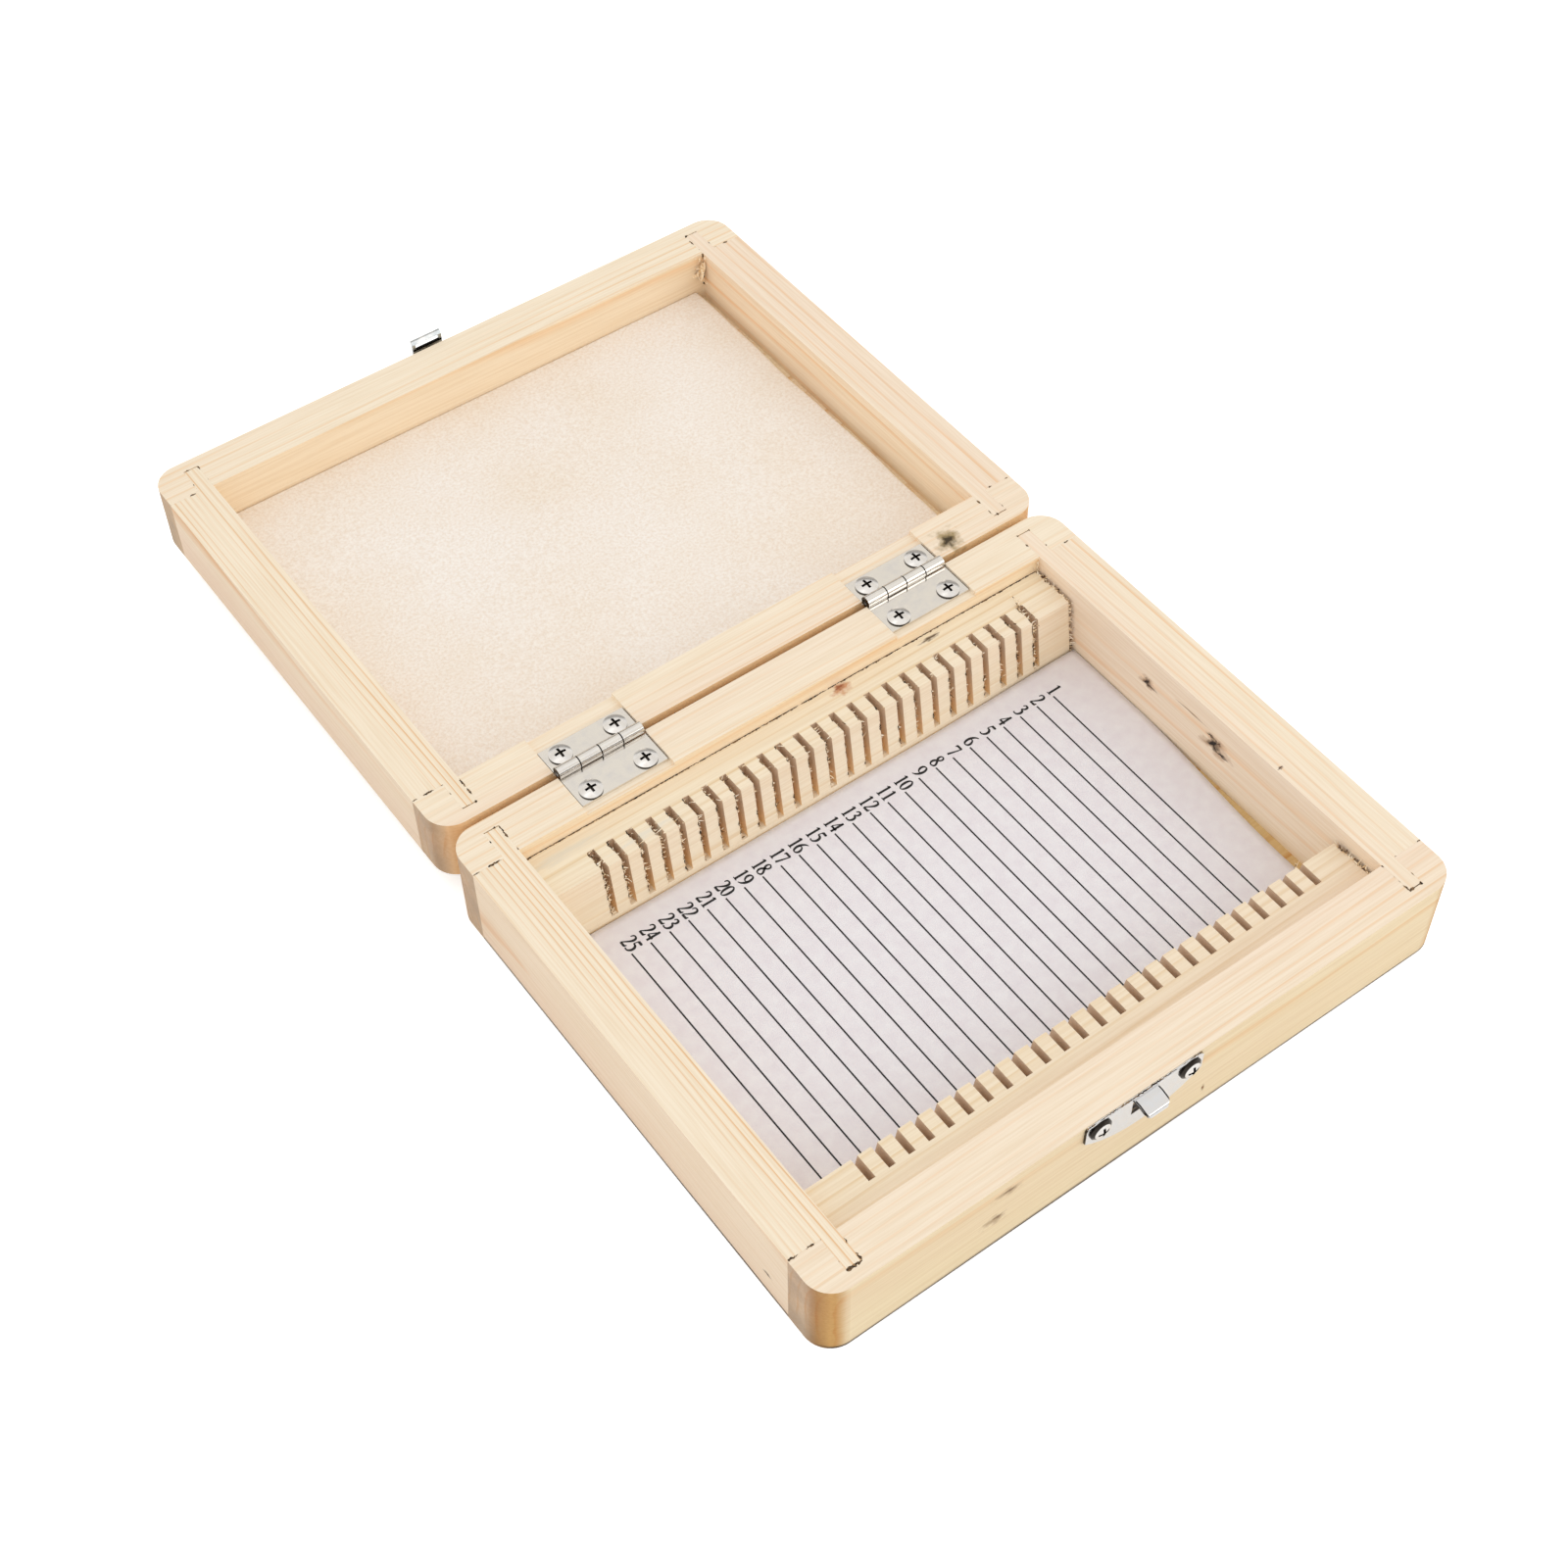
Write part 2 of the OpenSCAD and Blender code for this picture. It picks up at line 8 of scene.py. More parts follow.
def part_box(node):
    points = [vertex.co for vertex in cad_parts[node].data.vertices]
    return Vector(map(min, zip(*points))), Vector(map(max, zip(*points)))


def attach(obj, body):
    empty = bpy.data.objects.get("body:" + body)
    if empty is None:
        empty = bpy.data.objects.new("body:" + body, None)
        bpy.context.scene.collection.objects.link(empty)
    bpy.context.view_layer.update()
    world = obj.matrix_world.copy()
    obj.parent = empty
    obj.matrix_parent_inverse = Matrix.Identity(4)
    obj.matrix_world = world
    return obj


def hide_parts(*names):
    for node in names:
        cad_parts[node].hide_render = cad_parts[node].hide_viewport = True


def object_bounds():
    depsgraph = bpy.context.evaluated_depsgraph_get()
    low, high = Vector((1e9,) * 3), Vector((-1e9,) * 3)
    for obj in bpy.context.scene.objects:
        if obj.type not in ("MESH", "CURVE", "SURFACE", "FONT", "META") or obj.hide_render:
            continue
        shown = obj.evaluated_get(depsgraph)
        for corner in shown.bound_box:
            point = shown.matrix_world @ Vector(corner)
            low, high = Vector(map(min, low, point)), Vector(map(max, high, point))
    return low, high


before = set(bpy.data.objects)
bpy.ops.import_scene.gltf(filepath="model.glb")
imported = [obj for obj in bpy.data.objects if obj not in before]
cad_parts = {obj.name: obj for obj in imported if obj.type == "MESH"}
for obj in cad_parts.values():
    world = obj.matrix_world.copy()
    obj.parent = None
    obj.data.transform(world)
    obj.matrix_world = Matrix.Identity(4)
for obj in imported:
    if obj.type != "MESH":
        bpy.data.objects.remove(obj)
cad_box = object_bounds()


# The camera: a 57 mm lens on a 36 mm sensor, 0.44 m from the middle of the open box. It stands in front of
# the box, to its left and above it, and looks down into both open trays.
camera_place = (-0.16540, -0.18415, 0.34692)
camera_turn, camera_fall, camera_roll = (math.radians(angle) for angle in (35.635, 51.441, -0.785))
ahead = Vector((math.sin(camera_turn) * math.cos(camera_fall),
                math.cos(camera_turn) * math.cos(camera_fall), -math.sin(camera_fall)))
level = Vector((math.cos(camera_turn), -math.sin(camera_turn), 0))
right = math.cos(camera_roll) * level + math.sin(camera_roll) * level.cross(ahead)
above = right.cross(ahead)
camera_data = bpy.data.cameras.new("camera")
camera_data.lens = 56.72
camera_data.sensor_width = 36
camera_data.clip_start = 0.01
camera = bpy.data.objects.new("camera", camera_data)
bpy.context.scene.collection.objects.link(camera)
camera_axes = Matrix((right, above, -ahead)).transposed().to_4x4()
camera.matrix_world = Matrix.Translation(camera_place) @ camera_axes
bpy.context.scene.camera = camera


# The base tray's four rails: planed softwood, pale cream with straight orange latewood lines. The long
# rails run the full width, and each short one holds a tongue into a groove in them, with a little glue.
MM = 0.001


def linear(colour):
    """An sRGB hex colour as linear RGBA: value / 12.92 near black, else ((value + 0.055) / 1.055) ** 2.4."""
    value = np.array([int(colour[i:i + 2], 16) for i in (1, 3, 5)]) / 255
    return (*np.where(value <= 0.04045, value / 12.92, ((value + 0.055) / 1.055) ** 2.4), 1.0)


def add(tree, kind, inputs=(), stops=(), **settings):
    """Adds one node. inputs gives its sockets values or other nodes' outputs, and stops a ramp's colours.
    A colour Mix has its factor at socket 0, its two colours at 6 and 7, and its result at output 2."""
    made = tree.nodes.new(kind)
    for name, value in settings.items():
        setattr(made, name, value)
    for name, value in dict(inputs).items():
        if isinstance(value, bpy.types.NodeSocket):
            tree.links.new(value, made.inputs[name])
        else:
            made.inputs[name].default_value = value
    for i, (place, colour) in enumerate(stops):
        stop = made.color_ramp.elements[i] if i < 2 else made.color_ramp.elements.new(place)
        stop.position = place
        stop.color = linear(colour)
    return made


def start(name, **sockets):
    """A new material whose shader has these constant sockets; gives it, its tree and its shader."""
    material = bpy.data.materials.new(name)
    material.use_nodes = True
    shader = material.node_tree.nodes["Principled BSDF"]
    for socket, value in sockets.items():
        shader.inputs[socket.replace("_", " ")].default_value = value
    return material, material.node_tree, shader


def planed_softwood(name, along, heart, ring=2.0, early="#FDF1E0", late="#F7D1A5", lines=1.0,
                    faces=(), marks=(), corners=0.0, slots=False):
    """Planed softwood: rings round a log whose heart lies at heart (mm, across the grain) and runs along X
    or Y. Each ring, ring mm wide, darkens slowly to a thin latewood line, as strong as lines says, and fine
    fibres and a slow tint lie over them. faces are (direction, colour) tints, painted light and shade, on the
    sides that look that way, and marks are (place mm, radii mm, colour) knots and ticks, and patches of
    painted shade. corners darkens the round corners towards ochre, slots toasts slots."""
    material, tree, shader = start(name, Roughness=0.62, IOR=1.5, Specular_IOR_Level=0.35)
    texture = add(tree, "ShaderNodeTexCoord")
    place, facing = texture.outputs["Object"], texture.outputs["Normal"]
    spot = add(tree, "ShaderNodeSeparateXYZ", {0: place})
    sides = add(tree, "ShaderNodeSeparateXYZ", {0: facing})
    turn = (0, 0, 0) if along == "X" else (0, 0, math.pi / 2)
    centre = (0, heart[0] * MM, heart[1] * MM) if along == "X" else (heart[0] * MM, 0, heart[1] * MM)
    # the rings wander 14 times more slowly along the log than across it
    log = add(tree, "ShaderNodeMapping", {"Vector": place, "Location": centre, "Rotation": turn,
                                          "Scale": (14, 1, 1)}, vector_type="TEXTURE").outputs[0]
    # Blender's wave of scale 1 repeats every 0.314 m
    wave_length = 0.314
    rings = add(tree, "ShaderNodeTexWave", {
        "Vector": log, "Scale": wave_length / (ring * MM), "Distortion": 8.0, "Detail": 3.0,
        "Detail Scale": 0.35, "Detail Roughness": 0.55}, wave_type="RINGS", rings_direction="X",
        wave_profile="SAW").outputs["Fac"]
    lined = add(tree, "ShaderNodeValToRGB", {"Fac": rings}, stops=(
        (0.0, early), (0.7, early), (0.9, late), (0.96, late), (1.0, early))).outputs["Color"]
    # latewood lines come and go, over about 9 cm along a board and 7 mm across it
    fade = add(tree, "ShaderNodeTexNoise", {"Vector": log, "Scale": 150.0, "Detail": 2.0}).outputs["Fac"]
    fade = add(tree, "ShaderNodeMapRange", {"Value": fade, "From Min": 0.35, "From Max": 0.65,
                                            "To Min": 0.05 * lines, "To Max": 1.0 * lines}).outputs[0]
    wood = add(tree, "ShaderNodeMix", {0: fade, 6: linear(early), 7: lined}, data_type="RGBA").outputs[2]
    # fibres are under 0.05 mm wide, drawn here at 0.4 mm so that they show
    fibres = add(tree, "ShaderNodeMapping", {"Vector": place, "Location": centre, "Rotation": turn,
                                             "Scale": (45, 1, 1)}, vector_type="TEXTURE").outputs[0]
    fibres = add(tree, "ShaderNodeTexNoise", {"Vector": fibres, "Scale": 2500.0,
                                              "Detail": 2.0}).outputs["Fac"]
    fibre_tint = add(tree, "ShaderNodeValToRGB", {"Fac": fibres}, stops=(
        (0.3, "#F7F2EB"), (0.62, "#FFFFFF"))).outputs["Color"]
    # the board's tone wanders from pinkish to yellowish, over about 2 cm across it
    wander = add(tree, "ShaderNodeTexNoise", {"Vector": log, "Scale": 55.0, "Detail": 1.0}).outputs["Fac"]
    tone = add(tree, "ShaderNodeValToRGB", {"Fac": wander}, stops=(
        (0.38, "#FDF5EE"), (0.62, "#FFFCF4"))).outputs["Color"]
    # tints multiply the wood's colour by their own where their mask is 1
    tints = [(1.0, fibre_tint), (1.0, tone)]
    # painted light and shade: a direction tint makes the sides that look its way lighter, darker or warmer
    for direction, colour in faces:
        turned = add(tree, "ShaderNodeVectorMath", {0: facing, 1: direction},
                     operation="DOT_PRODUCT").outputs["Value"]
        turned = add(tree, "ShaderNodeMapRange", {"Value": turned, "From Min": 0.55,
                                                  "From Max": 0.95}).outputs[0]
        tints.append((turned, linear(colour)))
    # end grain drinks light, so the cut ends, more than 58 mm out from the middle, are a little darker
    cut_end = add(tree, "ShaderNodeMath", {0: sides.outputs[along]}, operation="ABSOLUTE").outputs[0]
    cut_end = add(tree, "ShaderNodeMapRange", {"Value": cut_end, "From Min": 0.6, "From Max": 0.95,
                                               "To Max": 0.9}).outputs[0]
    outer = add(tree, "ShaderNodeMath", {0: spot.outputs["X"]}, operation="ABSOLUTE").outputs[0]
    outer = add(tree, "ShaderNodeMath", {0: outer, 1: 58 * MM}, operation="GREATER_THAN").outputs[0]
    cut_end = add(tree, "ShaderNodeMath", {0: cut_end, 1: outer}, operation="MULTIPLY").outputs[0]
    end_grain = add(tree, "ShaderNodeValToRGB", {"Fac": fade}, stops=(
        (0.1, "#B3A396"), (0.75, "#D2BFAC"))).outputs["Color"]
    tints.append((cut_end, end_grain))
    if corners:
        # the rounded corners, where a side turns from facing along X to facing along Y, are darkened towards
        # ochre
        across = add(tree, "ShaderNodeMath", {0: sides.outputs["X"], 1: sides.outputs["Y"]},
                     operation="MULTIPLY").outputs[0]
        across = add(tree, "ShaderNodeMath", {0: across}, operation="ABSOLUTE").outputs[0]
        across = add(tree, "ShaderNodeMapRange", {"Value": across, "From Min": 0.05, "From Max": 0.42,
                                                  "To Max": corners}).outputs[0]
        tints.append((across, linear("#D9B67E")))
    for mask, colour in tints:
        wood = add(tree, "ShaderNodeMix", {0: mask, 6: wood, 7: colour}, data_type="RGBA",
                   blend_type="MULTIPLY").outputs[2]
    # covers hide the wood's colour under their own
    covers = []
    if slots:
        # the saw left the slots' walls rough and toasted, most of all near their floors; a slot's walls face
        # along X, and its back faces along Y and lies behind the rack's inclined face
        wall = add(tree, "ShaderNodeMath", {0: sides.outputs["X"]}, operation="ABSOLUTE").outputs[0]
        upright = add(tree, "ShaderNodeMath", {0: sides.outputs["Y"]}, operation="ABSOLUTE").outputs[0]
        behind = add(tree, "ShaderNodeMath", {0: spot.outputs["Y"]}, operation="ABSOLUTE").outputs[0]
        behind = add(tree, "ShaderNodeMapRange", {"Value": behind, "From Min": 35.5 * MM,
                                                  "From Max": 36 * MM}).outputs[0]
        behind = add(tree, "ShaderNodeMath", {0: behind, 1: upright}, operation="MULTIPLY").outputs[0]
        sawn = add(tree, "ShaderNodeMath", {0: wall, 1: behind}, operation="MAXIMUM").outputs[0]
        height = add(tree, "ShaderNodeMapRange", {"Value": spot.outputs["Z"], "From Min": 3 * MM,
                                                  "From Max": 12 * MM}).outputs[0]
        toast = add(tree, "ShaderNodeValToRGB", {"Fac": height}, stops=(
            (0.0, "#FFDDA8"), (0.35, "#F6D3A8"), (1.0, "#DCC2A6"))).outputs["Color"]
        covers.append((sawn, toast))
    for middle, radii, colour in marks:
        local = add(tree, "ShaderNodeMapping", {
            "Vector": place, "Location": [c * MM for c in middle], "Scale": [r * MM for r in radii]},
            vector_type="TEXTURE").outputs[0]
        ragged = add(tree, "ShaderNodeTexNoise", {"Vector": local, "Scale": 3.2,
                                                  "Detail": 3.0}).outputs["Fac"]
        away = add(tree, "ShaderNodeVectorMath", {0: local}, operation="LENGTH").outputs["Value"]
        away = add(tree, "ShaderNodeMath", {0: away, 1: ragged}, operation="ADD").outputs[0]
        dark = add(tree, "ShaderNodeMapRange", {"Value": away, "From Min": 0.95,
                                                "From Max": 0.65}).outputs[0]
        covers.append((dark, linear(colour)))
    for mask, colour in covers:
        wood = add(tree, "ShaderNodeMix", {0: mask, 6: wood, 7: colour}, data_type="RGBA").outputs[2]
    tree.links.new(wood, shader.inputs["Base Color"])
    bump = add(tree, "ShaderNodeBump", {"Height": fibres, "Strength": 0.25, "Distance": 0.06 * MM})
    tree.links.new(bump.outputs[0], shader.inputs["Normal"])
    return material


def dress(names, material):
    """Gives the CAD nodes of these names the material in each of their slots."""
    for name in names:
        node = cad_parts[name]
        for slot in node.material_slots:
            slot.material = material
        if not node.material_slots:
            node.data.materials.append(material)


# the rails' direction tints are painted light and shade, which make a side lighter, darker or warmer by the
# way it faces
front, left, up = (0, -1, 0), (-1, 0, 0), (0, 0, 1)
# faces that look up are darkened a little: painted shade, which keeps the lamp-lit tops level with the sides
top_shade = (up, "#F6F5F3")
# a painted shadow darkens the bottom of the outer faces, where the box stands on the floor
smudge, smudge_heart, contact_shadow = "#BFA583", "#84694C", "#3A2A1A"
dress(["base_front_rail"], planed_softwood(
    "planed softwood, front rail", "X", (-116, 4), 2.0, lines=0.6, faces=[(front, "#EFEBDA"), top_shade],
    corners=1.0, marks=[
        ((-30.4, -53, 14.4), (7.0, 6, 2.8), smudge), ((-30.2, -53, 14.6), (3.2, 6, 1.0), smudge_heart),
        ((-32.8, -53, 8.0), (6.0, 6, 3.6), smudge), ((-32.2, -53, 8.4), (2.6, 6, 1.2), smudge_heart),
        ((10.8, -53, 4.4), (0.9, 6, 2.4), "#8A6238"),
        # painted shade: the wood that shows through the catch plate's opening is darkened nearly to black
        ((-4.4, -53, 14.0), (6.0, 6, 6.0), "#241A12"),
        ((-10, -53, 0), (320, 9, 1.8), contact_shadow)]))
dress(["base_back_rail"], planed_softwood(
    "planed softwood, back rail", "X", (108, -12), 1.8, lines=0.6, faces=[(front, "#FFFAF0"), top_shade],
    corners=0.5))
dress(["base_left_rail"], planed_softwood(
    "planed softwood, left rail", "Y", (-122, 6), 1.2, late="#EFC08C", lines=0.9,
    faces=[(left, "#F5EEE9"), top_shade], marks=[
        ((-65.5, -38.6, 5.7), (6, 2.6, 0.8), "#4A3A2C"), ((-65.5, 0, 0), (9, 300, 1.6), contact_shadow)]))
# two small black knots, each with a brown halo and a crack, a faint line past them, and a tick on the rim
dress(["base_right_rail"], planed_softwood(
    "planed softwood, right rail", "Y", (106, 30), 2.2, lines=0.8, faces=[top_shade], marks=[
        ((56.5, 13.2, 11.3), (6, 5.0, 3.0), "#C9A98A"), ((56.5, 13.2, 11.3), (6, 2.4, 2.2), "#2E2018"),
        ((56.5, 12.4, 10.9), (6, 4.4, 0.5), "#5A4030"), ((56.5, -4.8, 10.6), (6, 9, 5.0), "#C9A98A"),
        ((56.5, -4.4, 10.9), (6, 3.6, 3.4), "#1E140E"), ((56.5, -3.4, 12.4), (6, 2.2, 0.8), "#3A281D"),
        ((56.5, -6.6, 9.9), (6, 3.4, 1.0), "#241811"), ((56.5, -5.6, 12.0), (6, 1.2, 1.2), "#5A4030"),
        ((56.5, 2.0, 13.6), (6, 9.0, 0.5), "#B08C6C"),
        ((57.5, -18.8, 18), (1.6, 0.8, 6), "#5A4030")]))


# The bottom and top panels: thin softwood boards let into the rails' outer sides and glued. The bottom one
# is yellower than the rails.
# the bottom panel's upper face, inside the tray, is darkened and greyed: painted shade
dress(["base_bottom_panel"], planed_softwood(
    "planed softwood, bottom panel", "X", (30, -60), 3.2, early="#F0DDB4", late="#DDB173",
    faces=[(up, "#E8DCC4")]))
dress(["lid_top_panel"], planed_softwood(
    "planed softwood, top panel", "X", (70, -60), 3.2, early="#F7E8CC", late="#E9C491"))


# The two slide racks: softwood strips with an inclined inner face and 25 sawn slots that hold the slides.
# The saw has left the slots' walls rough and brown, and torn their edges.
dress(["back_slide_rack"], planed_softwood(
    "sawn softwood, back rack", "X", (90, 40), 2.4, early="#FBF0DC", late="#EBCFA2", lines=0.7,
    faces=[top_shade], slots=True, marks=[
        ((10.0, 42.6, 14.6), (5.6, 3.4, 6), "#CC9871"), ((9.8, 43.0, 14.6), (3.0, 1.6, 6), "#9C5F40"),
        ((-50, 41.2, 14.6), (24, 2.6, 9), "#E3D7C0"), ((-36, 36.5, 14.6), (18, 2.0, 9), "#E6DBC6"),
        ((30, 42.6, 14.6), (6.0, 1.2, 6), "#6A5844")]))
dress(["front_slide_rack"], planed_softwood(
    "sawn softwood, front rack", "X", (-86, 44), 2.2, early="#F9ECD8", late="#E8CA9C", lines=0.7,
    faces=[top_shade], slots=True))


def piece(name, shapes, material, body):
    """One mesh object from (points, quads) shapes, laid end to end, that rides on a body."""
    starts = np.cumsum([0] + [len(points) for points, _ in shapes])
    points = np.concatenate([p for p, _ in shapes])
    quads = np.concatenate([q + s for (_, q), s in zip(shapes, starts)])
    mesh = bpy.data.meshes.new(name)
    mesh.from_pydata(points.tolist(), [], quads.tolist())
    mesh.materials.append(material)
    made = bpy.data.objects.new(name, mesh)
    bpy.context.scene.collection.objects.link(made)
    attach(made, body)
    return made


def slivers(starts, ways, lengths, widths, curls):
    """Torn fibres: each runs from its start along its way for its length, bends by its curl times the square
    of the share travelled, and narrows to a third of its width. Each is one strip of five quads."""
    t = np.linspace(0, 1, 6)[None, :, None]
    line = starts[:, None] + lengths[:, None, None] * (ways[:, None] * t + curls[:, None] * t ** 2)
    side = np.cross(ways, curls + [0.3, 0.2, 0.1])
    side /= np.linalg.norm(side, axis=1, keepdims=True)
    half = side[:, None] * widths[:, None, None] * (0.5 - 0.33 * t)
    points = np.stack([line - half, line + half], 2).reshape(-1, 3)
    first = (np.arange(len(starts))[:, None] * 12 + np.arange(0, 10, 2)[None]).reshape(-1)
    return points * MM, np.stack([first, first + 1, first + 3, first + 2], 1)


def torn_edge(rng, low, high, count, way, length=(0.2, 1.1), width=(0.14, 0.3)):
    """Fibres along the edge from low to high, which point roughly along way and curl at random. A length is
    the least one plus the cube of a random share of the rest, so most are short."""
    at = rng.random((count, 1))
    starts = np.asarray(low) * (1 - at) + np.asarray(high) * at
    ways = np.asarray(way) + rng.normal(0, 0.3, (count, 3))
    ways /= np.linalg.norm(ways, axis=1, keepdims=True)
    lengths = length[0] + (length[1] - length[0]) * rng.random(count) ** 3
    return slivers(starts, ways, lengths, rng.uniform(*width, count), rng.normal(0, 0.35, (count, 3)))


torn_fibre, tree, shader = start("torn softwood fibre", Roughness=0.8, IOR=1.5, Specular_IOR_Level=0.2)
place = add(tree, "ShaderNodeTexCoord").outputs["Object"]
# neighbouring fibres differ over about 1 mm, from pale to straw, and some are dark brown: painted shade in
# the torn edges
straw = add(tree, "ShaderNodeTexNoise", {"Vector": place, "Scale": 1100.0, "Detail": 1.0}).outputs["Fac"]
straw = add(tree, "ShaderNodeValToRGB", {"Fac": straw}, stops=(
    (0.41, "#5A3E28"), (0.44, "#E6C79A"), (0.52, "#FBE9CB"), (0.7, "#FFF6E4"))).outputs["Color"]
tree.links.new(straw, shader.inputs["Base Color"])

rng = np.random.default_rng(7)
first_slot, slot_pitch, slot_count, slot_half = 47.8, 3.9, 25, 0.65
slot_x = first_slot - slot_pitch * np.arange(slot_count)
rack_right, rack_top = 55.7, 14.6
# a slot runs up the inclined face from its foot to its brow, and on into the rack's top as far as its end
foot_y, foot_z, brow_y, slot_end = 32.7, 3.8, 34.4, 39
# fibres at each slot, from the right: the blade tore the outermost slots' left edges most
torn_count = np.array([60, 40, 24, 16, 10, 30, 8, 22, 10, 8, 10, 8, 26,
                       10, 14, 20, 14, 24, 30, 22, 30, 34, 40, 44, 60])
edges = []
for x, count in zip(slot_x, torn_count):
    left_edge, right_edge = x - slot_half, x + slot_half
    # the more torn an edge is, the longer and wider its fibres are
    reach, wide = (0.2, 0.6 + count / 120), (0.16, 0.26 + count / 600)
    edges.append(torn_edge(rng, (left_edge, brow_y, rack_top), (left_edge, slot_end, rack_top),
                           count // 3 + 1, (0.8, 0, 0.15), reach, wide))
    edges.append(torn_edge(rng, (left_edge, foot_y, foot_z), (left_edge, 34.3, rack_top), count,
                           (0.8, -0.15, 0.1), reach, wide))
    edges.append(torn_edge(rng, (right_edge, brow_y, rack_top), (right_edge, slot_end, rack_top),
                           count // 10 + 1, (-0.7, 0, 0.2)))
# the back rack's right end, on top and down its face, its first slot's end and the corner above, and then
# the front rack's right end and first slot
for low, high, count, way, *sizes in (
        ((rack_right, brow_y, rack_top), (rack_right, 43.8, rack_top), 60, (0.5, 0, 0.2), (0.3, 1.2),
         (0.2, 0.4)),
        ((rack_right, 32.5, 2.6), (rack_right, brow_y, rack_top), 60, (0.5, -0.3, 0), (0.3, 1.2),
         (0.2, 0.4)),
        ((47.1, 38.2, rack_top), (48.6, 40.2, rack_top), 26, (0, 0.4, 0.6), (0.5, 2.0), (0.16, 0.3)),
        ((56.1, 43.8, 14.8), (56.1, 43.9, 17.9), 18, (-0.5, -0.5, 0), (0.3, 0.8)),
        ((55.6, -35.2, rack_top), (55.8, -43.6, rack_top), 90, (0.3, 0.5, 0.3), (0.3, 1.3), (0.2, 0.4)),
        ((47.2, -34.3, rack_top), (47.2, -33.6, 11), 14, (0.3, 0.6, 0.4), (0.4, 1.2), (0.16, 0.3))):
    edges.append(torn_edge(rng, low, high, count, way, *sizes))
piece("rack_torn_fibres", edges, torn_fibre, "base")


# The joints' seams: where a rail, a tongue or a rack meets another the cut edges are ragged, and dust and
# glue have darkened them. Each seam is a hair-thin line that widens and dies away along its length.
def strip(path, widths, up):
    """A flat strip: at each point of the path, half a width to either side along up x direction of travel."""
    path = np.asarray(path, float)
    travel = np.gradient(path, axis=0)
    side = np.cross(np.broadcast_to(up, path.shape), travel)
    side /= np.linalg.norm(side, axis=1, keepdims=True)
    half = side * np.broadcast_to(widths, len(path))[:, None] / 2
    count = len(path)
    first = np.arange(count - 1)
    quads = np.stack([first, first + count, first + count + 1, first + 1], 1)[:, ::-1]
    return np.concatenate([path - half, path + half]) * MM, quads


def seam(rng, start_point, end_point, width, cover, up=(0, 0, 1)):
    """A line on a face that looks along up. Its width is a hair plus width times a slow random run, which is
    clipped so that it shows along a share cover of the length, times a fast random one."""
    hair, step = 0.004, 0.18
    count = max(8, int(np.linalg.norm(np.array(end_point) - start_point) / step))
    slow = np.convolve(rng.random(count + 10), np.hanning(13)[1:-1] / 6, "valid")
    least = np.quantile(slow, 1 - cover)
    rough = np.clip((slow - least) / (slow.max() - least + 1e-6), 0, 1) ** 0.6 * rng.uniform(0.5, 1.2, count)
    t = np.linspace(0, 1, count)[:, None]
    path = np.asarray(start_point) * (1 - t) + np.asarray(end_point) * t
    path[:, :2] += rng.normal(0, 0.05, (count, 2))
    return strip(path, hair + width * rough, up)


def tray_seams(rng, middle, corners):
    """The seams at a tray's corners. corners gives for each (x side, y side) how much shows of the rails'
    butt joint, of the tongue's outer and inner sides, and of the gap past its tip."""
    # the rims are 18 mm up, and a seam lies a hair above them
    rim = 18.02
    made = []
    for (side_x, side_y), (butt, outer, inner, tip) in corners.items():
        # a short rail ends 44 mm from the tray's middle, and its tongue runs on for 6.3 mm
        joint_y, tongue_y, tip_y = (middle + side_y * away for away in (44, 50.3, 50.4))
        rail_out, rail_in, tongue_out, tongue_in = (side_x * away for away in (65.4, 59.5, 59.4, 56.5))
        made.append(seam(rng, (rail_in, joint_y, rim), (rail_out, joint_y, rim), 0.42, butt))
        made.append(seam(rng, (tongue_out, joint_y, rim), (tongue_out, tongue_y, rim), 0.2, outer))
        made.append(seam(rng, (tongue_in, joint_y, rim), (tongue_in, tongue_y, rim), 0.42, inner))
        made.append(seam(rng, (tongue_out, tip_y, rim), (tongue_in, tip_y, rim), 0.7, tip))
    return made


# the seams' material also paints the shade in the slots' torn notches
seam_dirt_and_shade, tree, shader = start("dusty glue and painted shade in a seam", Roughness=0.9, IOR=1.45)
place = add(tree, "ShaderNodeTexCoord").outputs["Object"]
# dust gathers in clots about 0.5 mm across
clots = add(tree, "ShaderNodeTexNoise", {"Vector": place, "Scale": 2000.0, "Detail": 1.0}).outputs["Fac"]
clots = add(tree, "ShaderNodeValToRGB", {"Fac": clots}, stops=(
    (0.38, "#1E150E"), (0.62, "#8A6C4A"))).outputs["Color"]
tree.links.new(clots, shader.inputs["Base Color"])

# the back rack against its rail, a dark line along the catch plate's top edge, the back rack's left end, and
# a dark strip along the left edge of each of its slots: painted shade of the notches that the saw tore there
on_rack = rack_top + 0.02
base_seams = [seam(rng, (-56.2, 43.9, on_rack), (rack_right, 43.9, on_rack), 0.5, 1.0),
              seam(rng, (-15.4, -53.25, 17.87), (8.4, -53.25, 17.87), 0.3, 0.9),
              seam(rng, (-56.3, 34.6, on_rack), (-56.3, 44, on_rack), 0.2, 0.5)]
for x, count in zip(slot_x, torn_count):
    notch, share = x - slot_half - 0.06, 0.15 + count / 110
    base_seams.append(seam(rng, (notch, 34.45, on_rack), (notch, 38.9, on_rack), 0.34, share))
    base_seams.append(seam(rng, (notch, 32.75, 4.2), (notch, 34.35, 14.5), 0.34, share, (0, -1, 0.15)))
base_corners = {(-1, -1): (0.6, 0.05, 0.4, 1.0), (1, -1): (0.2, 0.1, 0.4, 0.8),
                (-1, 1): (0.6, 0.05, 0.6, 0.1), (1, 1): (0.15, 0.05, 0.15, 0.3)}
